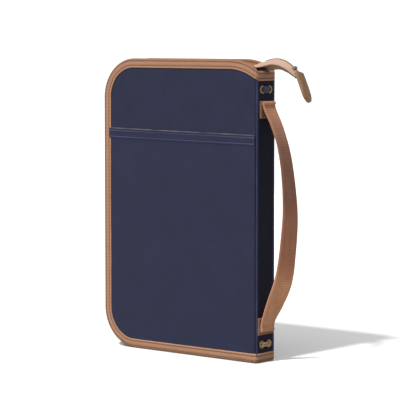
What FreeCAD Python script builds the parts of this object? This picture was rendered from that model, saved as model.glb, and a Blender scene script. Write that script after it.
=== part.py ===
"""Travel document organizer: a zip-around canvas folio with stiff covers, an outer slip
pocket, bound edges, a webbing handle sewn to the spine, and pockets inside.

Millimetres.  The organizer stands on its bottom edge.  The origin is the middle of the
spine's bottom edge; +Z is up, the book lies towards -X, the handle towards +X, and the front
cover, with the outer pocket, faces -Y.
"""
import FreeCAD, Part
import math
import os
import Sketcher
from FreeCAD import Placement, Rotation, Vector

DRIVING_SIZES = {
    # the whole book
    "book_height": 280.0,
    "book_width": 188.0,        # open edge to the spine's outer face
    "book_depth": 28.0,         # outside of front binding to outside of back binding
    "corner_radius": 38.0,
    "notch_drop": 10.6,         # the spine stops this far below the covers' top edge
    "shoulder_radius": 64.0,    # the covers' top edge falls in this arc towards the spine
    "shoulder_run": 28.0,
    # layers of a cover, from the outside in
    "binding_thick": 0.7,
    "canvas_thick": 0.9,
    "board_thick": 1.6,
    "lining_thick": 0.5,
    "binding_width": 9.0,
    "board_margin": 4.0,
    # the spine
    "spine_half_width": 13.0,
    "spine_board_gap": 1.0,     # edge of the spine's canvas to its board
    "fold_gap": 0.6,            # between the covers' edge and the spine's inner face
    # the zip
    "zip_inset": 6.5,           # tape's outer face below the book's edge
    "tape_thick": 0.8,
    "tape_edge": 2.2,           # tape's inner edge to the middle of the zip
    "coil_gap": 0.7,            # coil's inner face to the middle of the zip
    "coil_thick": 2.6,
    "zip_top_end": 14.0,        # the top run stops this far from the spine's middle
    "zip_bottom_end": 4.6,
    "coil_end_gap": 2.0,        # slider's far end to the coil's bottom end
    "slider_near": 6.0,
    "slider_long": 12.0,
    "slider_half_width": 4.6,
    "slider_plate": 1.2,
    "slider_room": 0.3,         # clearance round the coil and the tape
    "slider_lip": 1.4,
    "slider_post_half": 0.35,
    "slider_post_long": 3.0,
    "ear_near": 1.5,            # the ears' faces, from the middle plane
    "ear_far": 2.4,
    "eye_set_back": 4.0,        # slider's near end to the pull's pin
    "eye_drop": 1.4,            # pin's middle under the lower plate
    "pin_r": 0.5,
    "pin_room": 0.05,
    "pull_long": 25.0,
    "pull_half_width": 3.4,
    "pull_half_thick": 0.6,
    "pull_neck_half": 1.2,
    "pull_nose": 1.1,           # the neck's end past the pin
    "pull_shoulder": 6.0,       # pin to the broad grip
    # the outer pocket
    "hem_height": 211.0,
    "hem_rise": 2.0,            # the hem stands this much higher at its open-edge end
    # the handle
    "strap_width": 20.0,
    "strap_thick": 1.8,
    "strap_stand_off": 28.3,    # middle of the strap to the spine's canvas, at its fullest
    "strap_cut": 11.5,          # the ends stay with the spine up to this distance
    "strap_cut_gap": 0.3,
    "strap_lay_gap": 0.2,       # strap's ends to the patches they are sewn on
    "strap_foot": 2.0,          # strap's lower end above the middle of its patch
    "strap_head": 3.5,          # strap's upper end above the middle of its patch
    "patch_width": 24.0,
    "patch_tall": 16.0,
    "patch_thick": 1.6,
    "patch_inset": 26.0,        # spine's bottom edge to the lower patch
    "patch_top_inset": 27.4,    # spine's top edge to the upper patch
    # the eyelets and what runs through them
    "eyelet_inset": 17.0,
    "eyelet_offset": 5.2,
    "eyelet_outer_r": 3.75,
    "eyelet_barrel_r": 2.75,
    "eyelet_bore_r": 2.25,
    "eyelet_flange": 0.6,
    "elastic_wide": 6.4,
    "elastic_thick": 1.0,
    "elastic_run_half": 2.0,    # half the width of a run down the inside
    "elastic_end_gap": 0.2,     # the runs' end above the cord
    "thread_room": 0.15,        # clearance in an eyelet's bore
    "lay_gap": 0.1,             # clearance over an eyelet's flange
    "cord_r": 0.95,
    "strand_gap": 0.05,         # half the gap between the cord's two strands
    # the zip's free tail and its tab
    "tail_leg": 8.8,
    "tail_roll": 18.0,
    "tab_wide": 20.0,
    "tab_layer": 1.5,
    "tab_gap": 1.8,             # tape's end to the tab
    "stop_long": 2.6,
    "stop_wide": 4.6,
    "stop_tall": 2.8,
    "stop_room": 0.15,          # clearance round the coil
    # inside
    "pocket_thick": 1.6,
    "pocket_wall": 0.7,
    "pocket_seam": 3.0,
    "pocket_side_gap": 4.0,     # binding to the pockets
    "pocket_fold_gap": 11.0,
    "pocket_low_gap": 2.5,
    "pocket_corner_r": 24.5,    # keeps a pocket's corner clear of the rounded binding
    "sleeve_top": 196.0,
    "passport_wide": 100.0,
    "passport_shift": 4.0,
    "passport_top": 118.0,
    "boarding_wide": 88.0,
    "boarding_top": 180.0,
    "card_wide": 64.0,
    "card_top": 128.0,
    "card_step": 24.0,
    "card_layer": 1.2,
    "pen_loop_r": 5.6,
    "pen_loop_low": 212.0,
    "pen_loop_tall": 26.0,
    "pen_loop_from_edge": 28.0,
}

doc = FreeCAD.newDocument("TravelDocumentOrganizer")


def make_sheet():
    """The spreadsheet of driving sizes, one alias per cell."""
    sheet = doc.addObject("Spreadsheet::Sheet", "Sizes")
    for row, (name, value) in enumerate(DRIVING_SIZES.items(), start=1):
        sheet.set(f"A{row}", name.replace("_", " "))
        sheet.set(f"B{row}", str(value))
        sheet.setAlias(f"B{row}", name)
    doc.recompute()
    return sheet


sheet = make_sheet()


class Size:
    """A number together with the spreadsheet expression that gives it."""

    def __init__(self, value, text):
        self.value = float(value)
        self.text = text

    def __add__(self, other):
        other = as_size(other)
        return Size(self.value + other.value, f"({self.text} + {other.text})")

    def __sub__(self, other):
        other = as_size(other)
        return Size(self.value - other.value, f"({self.text} - {other.text})")

    def __mul__(self, number):
        return Size(self.value * number, f"({self.text} * {number})")

    def __neg__(self):
        return Size(-self.value, f"(0 - {self.text})")


def as_size(number):
    return number if isinstance(number, Size) else Size(number, f"({float(number)})")


def size(name):
    return Size(float(sheet.get(name)), f"Sizes.{name}")


def third_side(longest, leg):
    """The third side of a right triangle."""
    return Size(math.sqrt(longest.value ** 2 - leg.value ** 2),
                f"sqrt({longest.text}^2 - {leg.text}^2)")


# --- planes and levels worked out from the driving sizes ------------------------------------
STACK = (size("binding_thick") * 2 + size("canvas_thick") + size("board_thick")
         + size("lining_thick"))
SPINE_OUT = STACK * 0.5                        # X of the spine binding's outer face
OPEN_EDGE = SPINE_OUT - size("book_width")     # X of the covers' open edge
FOLD_EDGE = -(SPINE_OUT + size("fold_gap"))    # X where the covers end, beside the spine
TOP = size("book_height")
SPINE_TOP = TOP - size("notch_drop")
HALF_DEPTH = size("book_depth") * 0.5
CANVAS_OUT = HALF_DEPTH - size("binding_thick")     # |Y| of each face in a cover
BOARD_OUT = CANVAS_OUT - size("canvas_thick")
LINING_OUT = BOARD_OUT - size("board_thick")
LINING_IN = LINING_OUT - size("lining_thick")
BINDING_IN = LINING_IN - size("binding_thick")
SPINE_CANVAS_OUT = SPINE_OUT - size("binding_thick")   # X of each face in the spine
SPINE_BOARD_OUT = SPINE_CANVAS_OUT - size("canvas_thick")
SPINE_LINING_OUT = SPINE_BOARD_OUT - size("board_thick")
SPINE_LINING_IN = SPINE_LINING_OUT - size("lining_thick")
BOTTOM_EYELETS = size("eyelet_inset")
TOP_EYELETS = SPINE_TOP - size("eyelet_inset")

parts = []


def keep(obj, label):
    """Gives a finished sub-part the name of its file."""
    obj.Label = label
    parts.append(obj)
    return obj


# --- helpers for bodies and sketches ---------------------------------------------------------
def new_body(name):
    return doc.addObject("PartDesign::Body", name)


def sketch_on(body, name, plane_role, offset):
    """An empty sketch on one of the body's origin planes, moved along the plane's normal."""
    sketch = body.newObject("Sketcher::SketchObject", name)
    planes = [f for f in body.Origin.OriginFeatures if f.Role == plane_role]
    sketch.AttachmentSupport = (planes[0], [""])
    sketch.MapMode = "FlatFace"
    offset = as_size(offset)
    sketch.AttachmentOffset = Placement(Vector(0, 0, offset.value), Rotation())
    sketch.setExpression("AttachmentOffset.Base.z", offset.text)
    return sketch


def arc_between(p, q, radius, turn):
    """The short arc from p to q; turn is 1 to bend left and -1 to bend right."""
    chord = q - p
    half = chord.Length / 2
    rise = math.sqrt(max(radius * radius - half * half, 0.0))
    left = Vector(-chord.y, chord.x, 0).normalize()
    centre = (p + q) * 0.5 + left * rise * turn
    first, last = (p, q) if turn > 0 else (q, p)
    start = math.atan2(first.y - centre.y, first.x - centre.x)
    end = math.atan2(last.y - centre.y, last.x - centre.x)
    circle = Part.Circle(centre, Vector(0, 0, 1), radius)
    return Part.ArcOfCircle(circle, start, end)


def draw(sketch, outline):
    """Draws a closed outline: a list of (x, y) or (x, y, radius, turn), where the last two make
    the side that leaves the point an arc.  Every point and radius is bound to the sheet."""
    points = [Vector(item[0].value, item[1].value, 0) for item in outline]
    count = len(outline)
    first = sketch.GeometryCount
    start_pos, end_pos = [], []
    for i, item in enumerate(outline):
        p, q = points[i], points[(i + 1) % count]
        if len(item) == 2:
            sketch.addGeometry(Part.LineSegment(p, q), False)
            turn = 1
        else:
            turn = item[3]
            sketch.addGeometry(arc_between(p, q, item[2].value, turn), False)
        start_pos.append(1 if turn > 0 else 2)
        end_pos.append(2 if turn > 0 else 1)
    for i, item in enumerate(outline):
        here, before = first + i, first + (i - 1) % count
        sketch.addConstraint(Sketcher.Constraint(
            "Coincident", before, end_pos[i - 1], here, start_pos[i]))
        for kind, coordinate in (("DistanceX", item[0]), ("DistanceY", item[1])):
            index = sketch.addConstraint(Sketcher.Constraint(
                kind, -1, 1, here, start_pos[i], coordinate.value))
            sketch.setExpression(f"Constraints[{index}]", coordinate.text)
        if len(item) > 2:
            index = sketch.addConstraint(Sketcher.Constraint("Radius", here, item[2].value))
            sketch.setExpression(f"Constraints[{index}]", item[2].text)


def draw_circle(sketch, x, y, radius):
    index = sketch.addGeometry(
        Part.Circle(Vector(x.value, y.value, 0), Vector(0, 0, 1), radius.value), False)
    for kind, target in (("DistanceX", x), ("DistanceY", y)):
        number = sketch.addConstraint(Sketcher.Constraint(kind, -1, 1, index, 3, target.value))
        sketch.setExpression(f"Constraints[{number}]", target.text)
    number = sketch.addConstraint(Sketcher.Constraint("Radius", index, radius.value))
    sketch.setExpression(f"Constraints[{number}]", radius.text)


def pad(body, sketch, name, length):
    feature = body.newObject("PartDesign::Pad", name)
    feature.Profile = sketch
    feature.Length = length.value
    feature.setExpression("Length", length.text)
    body.Tip = feature
    return feature


def pocket(body, sketch, name, length, with_normal):
    """Cuts along the sketch's normal or against it, and checks that something was cut."""
    before = body.Tip
    feature = body.newObject("PartDesign::Pocket", name)
    feature.Profile = sketch
    feature.Length = length.value
    feature.setExpression("Length", length.text)
    feature.Reversed = with_normal
    body.Tip = feature
    doc.recompute()
    if feature.Shape.Volume > before.Shape.Volume - 1e-3:
        raise RuntimeError(f"{body.Name}: {name} cuts nothing")
    return feature


# --- a plate standing in the XZ plane, for the covers ----------------------------------------
# A sketch on the XZ plane has its normal along -Y, so a sketch moved by -y lies at y, and its
# pad grows towards -Y.
def xz_plate(name, outline, y_low, y_high):
    body = new_body(name)
    sketch = sketch_on(body, f"{name}_outline", "XZ_Plane", -y_high)
    draw(sketch, outline)
    pad(body, sketch, f"{name}_pad", y_high - y_low)
    return body


def yz_plate(name, outline, x_low, x_high):
    """A plate of the spine: its sketch lies on the YZ plane, whose normal is +X."""
    body = new_body(name)
    sketch = sketch_on(body, f"{name}_outline", "YZ_Plane", x_low)
    draw(sketch, outline)
    pad(body, sketch, f"{name}_pad", x_high - x_low)
    return body


def rectangle(left, right, low, high):
    return [(left, low), (right, low), (right, high), (left, high)]


def cover_outline(inset):
    """The cover's outline, inset on every edge but the fold, anticlockwise seen from the front,
    from the fold's bottom end."""
    inset = as_size(inset)
    left = OPEN_EDGE + inset
    low = as_size(0) + inset
    high = TOP - inset
    corner = size("corner_radius") - inset
    shoulder = size("shoulder_radius") - inset
    run = size("shoulder_run")
    fold_top = TOP - size("shoulder_radius") + third_side(shoulder, run)
    return [
        (FOLD_EDGE, low),
        (FOLD_EDGE, fold_top, shoulder, 1),
        (FOLD_EDGE - run, high),
        (left + corner, high, corner, 1),
        (left, high - corner),
        (left, low + corner, corner, 1),
        (left + corner, low),
    ]


def ring_outline():
    """The binding's outline: the cover's edge and, inside it, the same edge inset by the
    binding's width, joined at the fold."""
    outer = cover_outline(0)
    inner = cover_outline(size("binding_width"))
    inner_path = [
        (inner[0][0], inner[0][1]),
        (inner[6][0], inner[6][1], inner[5][2], -1),
        (inner[5][0], inner[5][1]),
        (inner[4][0], inner[4][1], inner[3][2], -1),
        (inner[3][0], inner[3][1]),
        (inner[2][0], inner[2][1], inner[1][2], -1),
        (inner[1][0], inner[1][1]),
    ]
    return outer[1:] + [outer[0]] + inner_path


def strip_outline(outer_inset, thickness):
    """A strip that follows the bottom, the open side and the top, straight on past the
    shoulder: the zip's path."""
    outer_inset = as_size(outer_inset)
    inner_inset = outer_inset + thickness
    top_end = -size("zip_top_end")
    bottom_end = -size("zip_bottom_end")
    outer_r = size("corner_radius") - outer_inset
    inner_r = size("corner_radius") - inner_inset
    corner_x = OPEN_EDGE + size("corner_radius")
    corner_low = as_size(0) + size("corner_radius")
    corner_high = TOP - size("corner_radius")
    outer_x, inner_x = OPEN_EDGE + outer_inset, OPEN_EDGE + inner_inset
    return [
        (top_end, TOP - outer_inset),
        (corner_x, TOP - outer_inset, outer_r, 1),
        (outer_x, corner_high),
        (outer_x, corner_low, outer_r, 1),
        (corner_x, outer_inset),
        (bottom_end, outer_inset),
        (bottom_end, inner_inset),
        (corner_x, inner_inset, inner_r, -1),
        (inner_x, corner_low),
        (inner_x, corner_high, inner_r, -1),
        (corner_x, TOP - inner_inset),
        (top_end, TOP - inner_inset),
    ]


def side_levels(side, inner, outer):
    """|Y| levels turned into (low, high) Y for the front (-1) or the back (1) cover."""
    return (-outer, -inner) if side < 0 else (inner, outer)


# --- the two covers ---------------------------------------------------------------------------
def make_cover(prefix, side):
    hem = size("binding_thick")
    low, high = side_levels(side, BOARD_OUT, CANVAS_OUT)
    keep(xz_plate(f"{prefix}_panel", cover_outline(hem), low, high), f"{prefix}_panel")
    low, high = side_levels(side, LINING_OUT, BOARD_OUT)
    keep(xz_plate(f"{prefix}_board", cover_outline(size("board_margin")), low, high),
         f"{prefix}_board")
    low, high = side_levels(side, LINING_IN, LINING_OUT)
    keep(xz_plate(f"{prefix}_lining", cover_outline(hem), low, high), f"{prefix}_lining")
    make_binding(prefix, side)
    make_zip_half(prefix, side)


def make_binding(prefix, side):
    """The binding: a tape folded over the cover's edge, open towards the middle."""
    name = f"{prefix}_binding"
    low, high = side_levels(side, BINDING_IN, HALF_DEPTH)
    body = xz_plate(name, ring_outline(), low, high)
    _, slot_high = side_levels(side, LINING_IN, CANVAS_OUT)
    slot = sketch_on(body, f"{name}_slot_outline", "XZ_Plane", -slot_high)
    draw(slot, cover_outline(size("binding_thick")))
    pocket(body, slot, f"{name}_slot", CANVAS_OUT - LINING_IN, True)
    keep(body, name)


def make_zip_half(prefix, side):
    low, high = side_levels(side, size("tape_edge"), BINDING_IN)
    tape = strip_outline(size("zip_inset"), size("tape_thick"))
    keep(xz_plate(f"{prefix}_zip_tape", tape, low, high), f"{prefix}_zip_tape")
    low, high = side_levels(side, size("coil_gap"), size("tape_edge"))
    proud = (size("coil_thick") - size("tape_thick")) * 0.5
    coil = strip_outline(size("zip_inset") - proud, size("coil_thick"))
    coil_end = -(size("slider_near") + size("slider_long") + size("coil_end_gap"))
    coil[5] = (coil_end, coil[5][1])
    coil[6] = (coil_end, coil[6][1])
    keep(xz_plate(f"{prefix}_zip_coil", coil, low, high), f"{prefix}_zip_coil")


def make_outer_pocket():
    """The slip pocket on the front: a panel level with the binding, open at its hem."""
    outline = cover_outline(size("binding_width"))
    hem = size("hem_height")
    below_hem = [
        outline[0],
        (outline[0][0], hem),
        (outline[4][0], hem + size("hem_rise")),
        outline[5],
        outline[6],
    ]
    body = xz_plate("front_pocket_panel", below_hem, -HALF_DEPTH, -CANVAS_OUT)
    keep(body, "front_pocket_panel")


# --- pockets inside ---------------------------------------------------------------------------
def pocket_outline(left, right, low, high, corner):
    """A rectangle, with its lower corner at the open edge rounded where corner is a radius."""
    if corner is None:
        return rectangle(left, right, low, high)
    return [(left + corner, low), (right, low), (right, high), (left, high),
            (left, low + corner, corner, 1)]


def slip_pocket(name, side, base, left, right, low, high, thick, corner=None):
    """A pocket sewn on along its two sides and its bottom.  base is the |Y| it is sewn to, and
    the hollow behind its face is open at the top."""
    box_low, box_high = side_levels(side, base - thick, base)
    body = xz_plate(name, pocket_outline(left, right, low, high, corner), box_low, box_high)
    hollow = thick - size("pocket_wall")
    seam = size("pocket_seam")
    inner_corner = None if corner is None else corner - seam
    _, hollow_high = side_levels(side, base - hollow, base)
    sketch = sketch_on(body, f"{name}_hollow_outline", "XZ_Plane", -hollow_high)
    draw(sketch, pocket_outline(left + seam, right - seam, low + seam, high + seam,
                                inner_corner))
    pocket(body, sketch, f"{name}_hollow", hollow, True)
    keep(body, name)
    return base - thick


POCKET_LEFT = OPEN_EDGE + size("binding_width") + size("pocket_side_gap")
POCKET_RIGHT = FOLD_EDGE - size("pocket_fold_gap")
POCKET_BOTTOM = size("binding_width") + size("pocket_low_gap")


def make_inside_pockets():
    thick = size("pocket_thick")
    on_sleeve = slip_pocket("document_sleeve", -1, LINING_IN, POCKET_LEFT, POCKET_RIGHT,
                            POCKET_BOTTOM, size("sleeve_top"), thick,
                            size("pocket_corner_r"))
    shift = size("passport_shift")
    passport_right = POCKET_RIGHT - shift
    slip_pocket("passport_pocket", -1, on_sleeve, passport_right - size("passport_wide"),
                passport_right, POCKET_BOTTOM + shift, size("passport_top"), thick)
    slip_pocket("boarding_pass_pocket", 1, LINING_IN, POCKET_LEFT,
                POCKET_LEFT + size("boarding_wide"), POCKET_BOTTOM, size("boarding_top"), thick,
                size("pocket_corner_r"))
    base = LINING_IN
    for step, place in enumerate(("upper", "middle", "lower")):
        base = slip_pocket(f"card_pocket_{place}", 1, base, POCKET_RIGHT - size("card_wide"),
                           POCKET_RIGHT, POCKET_BOTTOM,
                           size("card_top") - size("card_step") * step, size("card_layer"))


def make_pen_loop():
    """An elastic loop sewn to the front cover's lining, above the sleeve."""
    body = new_body("pen_loop")
    sketch = sketch_on(body, "pen_loop_outline", "XY_Plane", size("pen_loop_low"))
    inner = size("pen_loop_r")
    outer = inner + size("elastic_thick")
    x = OPEN_EDGE + size("pen_loop_from_edge")
    y = -(LINING_IN - outer)
    draw_circle(sketch, x, y, outer)
    draw_circle(sketch, x, y, inner)
    pad(body, sketch, "pen_loop_pad", size("pen_loop_tall"))
    keep(body, "pen_loop")


# --- the spine --------------------------------------------------------------------------------
def eyelet_places():
    for z in (BOTTOM_EYELETS, TOP_EYELETS):
        for y in (-size("eyelet_offset"), size("eyelet_offset")):
            yield y, z


def spine_layer(name, x_low, x_high, margin):
    half = size("spine_half_width") - margin
    low = as_size(0) + margin
    body = yz_plate(name, rectangle(-half, half, low, SPINE_TOP - margin), x_low, x_high)
    holes = sketch_on(body, f"{name}_holes_outline", "YZ_Plane", x_low)
    for y, z in eyelet_places():
        draw_circle(holes, y, z, size("eyelet_barrel_r"))
    pocket(body, holes, f"{name}_holes", x_high - x_low, True)
    keep(body, name)


def make_spine():
    hem = size("binding_thick")
    spine_layer("spine_panel", SPINE_BOARD_OUT, SPINE_CANVAS_OUT, hem)
    spine_layer("spine_board", SPINE_LINING_OUT, SPINE_BOARD_OUT,
                hem + size("spine_board_gap"))
    spine_layer("spine_lining", SPINE_LINING_IN, SPINE_LINING_OUT, hem)
    spine_binding("spine_bottom_binding", as_size(0), size("binding_width"), hem, as_size(0))
    spine_binding("spine_top_binding", SPINE_TOP - size("binding_width"), SPINE_TOP,
                  as_size(0), hem)


def spine_binding(name, low, high, hem_below, hem_above):
    """Binding folded over one end of the spine's layers."""
    half = size("spine_half_width")
    body = yz_plate(name, rectangle(-half, half, low, high), -SPINE_OUT, SPINE_OUT)
    slot = sketch_on(body, f"{name}_slot_outline", "YZ_Plane", SPINE_LINING_IN)
    inner = half - size("binding_thick")
    draw(slot, rectangle(-inner, inner, low + hem_below, high - hem_above))
    pocket(body, slot, f"{name}_slot", SPINE_CANVAS_OUT - SPINE_LINING_IN, True)
    keep(body, name)


def x_cylinder(name, radius, x_low, length, y, z):
    """A Part cylinder along X."""
    shape = doc.addObject("Part::Cylinder", name)
    shape.setExpression("Radius", radius.text)
    shape.setExpression("Height", length.text)
    shape.Placement = Placement(Vector(x_low.value, y.value, z.value),
                                Rotation(Vector(0, 1, 0), 90))
    for axis, target in (("x", x_low), ("y", y), ("z", z)):
        shape.setExpression(f"Placement.Base.{axis}", target.text)
    return shape


def box(name, x_low, x_high, y_low, y_high, z_low, z_high):
    shape = doc.addObject("Part::Box", name)
    for side, low, high in (("Length", x_low, x_high), ("Width", y_low, y_high),
                            ("Height", z_low, z_high)):
        shape.setExpression(side, (high - low).text)
    shape.Placement = Placement(Vector(x_low.value, y_low.value, z_low.value), Rotation())
    for axis, target in (("x", x_low), ("y", y_low), ("z", z_low)):
        shape.setExpression(f"Placement.Base.{axis}", target.text)
    return shape


def fuse(name, shapes):
    result = doc.addObject("Part::MultiFuse", name)
    result.Shapes = shapes
    return result


def make_eyelets():
    """Four brass eyelets: a barrel through the spine with a rolled flange at each end."""
    flange = size("eyelet_flange")
    inner_face = SPINE_LINING_IN - flange
    whole = SPINE_CANVAS_OUT + flange - inner_face
    rings = []
    for number, (y, z) in enumerate(eyelet_places(), start=1):
        name = f"eyelet_{number}"
        solid = fuse(f"{name}_solid", [
            x_cylinder(f"{name}_barrel", size("eyelet_barrel_r"), inner_face, whole, y, z),
            x_cylinder(f"{name}_outer_flange", size("eyelet_outer_r"), SPINE_CANVAS_OUT,
                       flange, y, z),
            x_cylinder(f"{name}_inner_flange", size("eyelet_outer_r"), inner_face, flange, y, z),
        ])
        ring = doc.addObject("Part::Cut", name)
        ring.Base = solid
        ring.Tool = x_cylinder(f"{name}_bore", size("eyelet_bore_r"), inner_face, whole, y, z)
        rings.append(ring)
    group = doc.addObject("Part::Compound", "spine_eyelets")
    group.Links = rings
    keep(group, "spine_eyelets")


def make_booklet_elastic():
    """Flat elastic: a short bridge outside between the upper eyelets, and two runs down the
    inside of the spine that hold booklets."""
    offset, z = size("eyelet_offset"), TOP_EYELETS
    thick, wide = size("elastic_thick"), size("elastic_wide")
    outside = SPINE_CANVAS_OUT + size("eyelet_flange") + size("lay_gap")
    inside = SPINE_LINING_IN - size("eyelet_flange") - size("lay_gap")
    thread = size("eyelet_bore_r") - size("thread_room")
    run_half = size("elastic_run_half")
    run_low = BOTTOM_EYELETS + size("cord_r") * 2 + size("elastic_end_gap")
    pieces = [box("elastic_bridge", outside, outside + thick, -offset, offset,
                  z - wide * 0.5, z + wide * 0.5)]
    for name, y in (("front", -offset), ("back", offset)):
        pieces.append(x_cylinder(f"elastic_{name}_thread", thread, inside - thick,
                                 outside + thick - inside + thick, y, z))
        pieces.append(box(f"elastic_{name}_run", inside - thick, inside, y - run_half,
                          y + run_half, run_low, z + run_half))
    pieces.append(box("elastic_end", inside - thick, inside, -offset, offset, run_low,
                      run_low + run_half))
    keep(fuse("booklet_elastic", pieces), "booklet_elastic")


CORD_WEB_SHARE = 0.8            # of the cord's radius: a web that ties the two strands inside


def make_tie_cord():
    """Thin cord: two strands outside between the lower eyelets, tied inside to the elastic."""
    offset, z = size("eyelet_offset"), BOTTOM_EYELETS
    r = size("cord_r")
    outside = SPINE_CANVAS_OUT + size("eyelet_flange") + r + size("lay_gap")
    inside = SPINE_LINING_IN - size("eyelet_flange") - r - size("lay_gap")
    apart = r + size("strand_gap")
    pieces = []
    for row, level in (("low", z - apart), ("high", z + apart)):
        for place, x in (("outer", outside), ("inner", inside)):
            pieces.append(y_cylinder(f"cord_{row}_{place}", r, x, level, offset))
        for side, y in (("front", -offset), ("back", offset)):
            pieces.append(x_cylinder(f"cord_{row}_{side}", r, inside, outside - inside, y,
                                     level))
            for place, x in (("outer", outside), ("inner", inside)):
                bend = doc.addObject("Part::Sphere", f"cord_{row}_{side}_{place}_bend")
                bend.setExpression("Radius", r.text)
                bend.Placement = Placement(Vector(x.value, y.value, level.value), Rotation())
                for axis, target in (("x", x), ("y", y), ("z", level)):
                    bend.setExpression(f"Placement.Base.{axis}", target.text)
                pieces.append(bend)
    join = size("cord_r") * CORD_WEB_SHARE
    pieces.append(box("cord_web", inside - join, inside + join, -offset, offset,
                      z - r, z + r))
    keep(fuse("tie_cord", pieces), "tie_cord")


# --- the handle -------------------------------------------------------------------------------
# The strap's shape: how far up it is between its two sewn ends, and how far it stands off, as
# shares of the whole.  It leaves the lower patch steeply and is fullest near the middle.
STRAP_SHAPE = [(0.0, 0.0), (0.10, 0.36), (0.20, 0.70), (0.33, 0.89), (0.50, 1.0),
               (0.66, 0.92), (0.80, 0.72), (0.90, 0.40), (1.0, 0.0)]


def strap_points():
    half_patch = size("patch_tall") * 0.5
    foot = (size("patch_inset") + half_patch + size("strap_foot")).value
    head = (SPINE_TOP - size("patch_top_inset") - half_patch + size("strap_head")).value
    start = (SPINE_CANVAS_OUT + size("patch_thick") + size("strap_thick") * 0.5
             + size("strap_lay_gap")).value
    reach = (SPINE_CANVAS_OUT + size("strap_stand_off")).value - start
    return [Vector(start + reach * out, 0, foot + (head - foot) * up)
            for up, out in STRAP_SHAPE]


def strap_section():
    """The strap's outline in the XZ plane: its middle line moved half its thickness each way."""
    points = strap_points()
    middle = Part.BSplineCurve()
    middle.interpolate(points)
    half = size("strap_thick").value / 2
    sides = []
    for way in (1, -1):
        moved = []
        for point in points:
            along = Vector(*middle.tangent(middle.parameter(point))[0])
            normal = Vector(along.z, 0, -along.x).normalize()
            moved.append(point + normal * half * way)
        curve = Part.BSplineCurve()
        curve.interpolate(moved)
        sides.append((curve, moved))
    (outer, outer_points), (inner, inner_points) = sides
    edges = [outer.toShape(), Part.LineSegment(outer_points[-1], inner_points[-1]).toShape(),
             inner.toShape(), Part.LineSegment(inner_points[0], outer_points[0]).toShape()]
    return Part.Face(Part.Wire(Part.__sortEdges__(edges)))


def strap_cut_levels():
    """Heights at which the strap has come the cutting distance away from the spine."""
    middle = Part.BSplineCurve()
    middle.interpolate(strap_points())
    target = size("strap_cut").value
    levels = []
    steps = 400
    last = middle.value(middle.FirstParameter)
    for i in range(1, steps + 1):
        share = i / steps
        point = middle.value(middle.FirstParameter
                             + (middle.LastParameter - middle.FirstParameter) * share)
        if (last.x - target) * (point.x - target) < 0:
            levels.append(point.z)
        last = point
    return levels


def make_handle():
    width = size("strap_width").value
    whole = strap_section().extrude(Vector(0, width, 0))
    whole.translate(Vector(0, -width / 2, 0))
    low_cut, high_cut = strap_cut_levels()
    gap = size("strap_cut_gap").value
    band_deep = size("strap_stand_off").value * 2
    band_wide = width * 1.2
    bands = (("lower_handle_end", 0.0, low_cut - gap),
             ("handle_webbing", low_cut, high_cut),
             ("upper_handle_end", high_cut + gap, TOP.value))
    for name, low, high in bands:
        band = Part.makeBox(band_deep, band_wide, high - low, Vector(0, -band_wide / 2, low))
        feature = doc.addObject("Part::Feature", name)
        feature.Shape = whole.common(band).Solids[0]
        feature.Placement = Placement()
        keep(feature, name)


def make_patches():
    """Leather patches that spread the handle's pull over the spine."""
    half = size("patch_width") * 0.5
    tall, thick = size("patch_tall"), size("patch_thick")
    top = SPINE_TOP - size("patch_top_inset")
    for name, low in (("lower_handle_patch", size("patch_inset")),
                      ("upper_handle_patch", top - tall)):
        body = yz_plate(name, rectangle(-half, half, low, low + tall), SPINE_CANVAS_OUT,
                        SPINE_CANVAS_OUT + thick)
        keep(body, name)


# --- the zip's free tail ----------------------------------------------------------------------
# The ridge's route in the XZ plane, from the covers' top over the spine to the tab.
TAIL_ROUTE = [(-13.4, 273.6), (-5.0, 276.4), (1.2, 278.2), (8.0, 279.9), (15.0, 280.5),
              (22.0, 279.4), (29.0, 276.2), (34.5, 272.4), (38.8, 268.9)]
TAIL_START, TAIL_END = TAIL_ROUTE[0][0], TAIL_ROUTE[-1][0]
ROOT_STATIONS = [TAIL_START, -9.0, -4.0, 1.2]
FREE_STATIONS = [4.4, 8.0, 12.0, 16.0, 20.0, 24.0, 28.0, 32.0, 35.6, TAIL_END]
TENT_RUN = 20.0                 # the tape goes from nearly flat to a full tent over this run
TENT_TILT = 62.0                # degrees below level, of a leg of the full tent
ROOT_TILT_SHARE = 0.35          # of that tilt, where the tape leaves the covers
ROOT_LEG_SHARE = 0.9            # of the leg's length, while it lies between the covers
TAIL_COIL_WIDTH_SHARE = 0.9     # of the closed coil's height
END_STOP_X, END_STOP_NEXT_X = 34.5, 36.5
TAB_TIP = Vector(50.6, 0, 241.4)


def tail_frames(points):
    """The ridge's points with the directions across and under the tape at each."""
    curve = Part.BSplineCurve()
    curve.interpolate([Vector(x, 0, z) for x, z in TAIL_ROUTE])
    roll = math.radians(size("tail_roll").value)
    frames = []
    for x in points:
        low, high = curve.FirstParameter, curve.LastParameter
        for _ in range(40):
            middle = (low + high) / 2
            if curve.value(middle).x < x:
                low = middle
            else:
                high = middle
        at = curve.value(low)
        along = Vector(*curve.tangent(low)[0])
        down = Vector(along.z, 0, -along.x).normalize()
        share = min(max((x - TAIL_START) / TENT_RUN, 0.0), 1.0)
        frames.append((at, down, roll * share, share))
    return frames


def leg_direction(down, roll, side, share):
    """Which way one half of the tape goes from the ridge: flat at the root, and a tent
    further out.  side is -1 for the front half and 1 for the back half."""
    opening = ROOT_TILT_SHARE + (1 - ROOT_TILT_SHARE) * share
    tilt = math.radians(TENT_TILT) * opening + roll * side
    return Vector(0, side * math.cos(tilt), 0) + down * math.sin(tilt)


def loft(sections):
    wires = [Part.makePolygon(corners + [corners[0]]) for corners in sections]
    return Part.makeLoft(wires, True, True)


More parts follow.
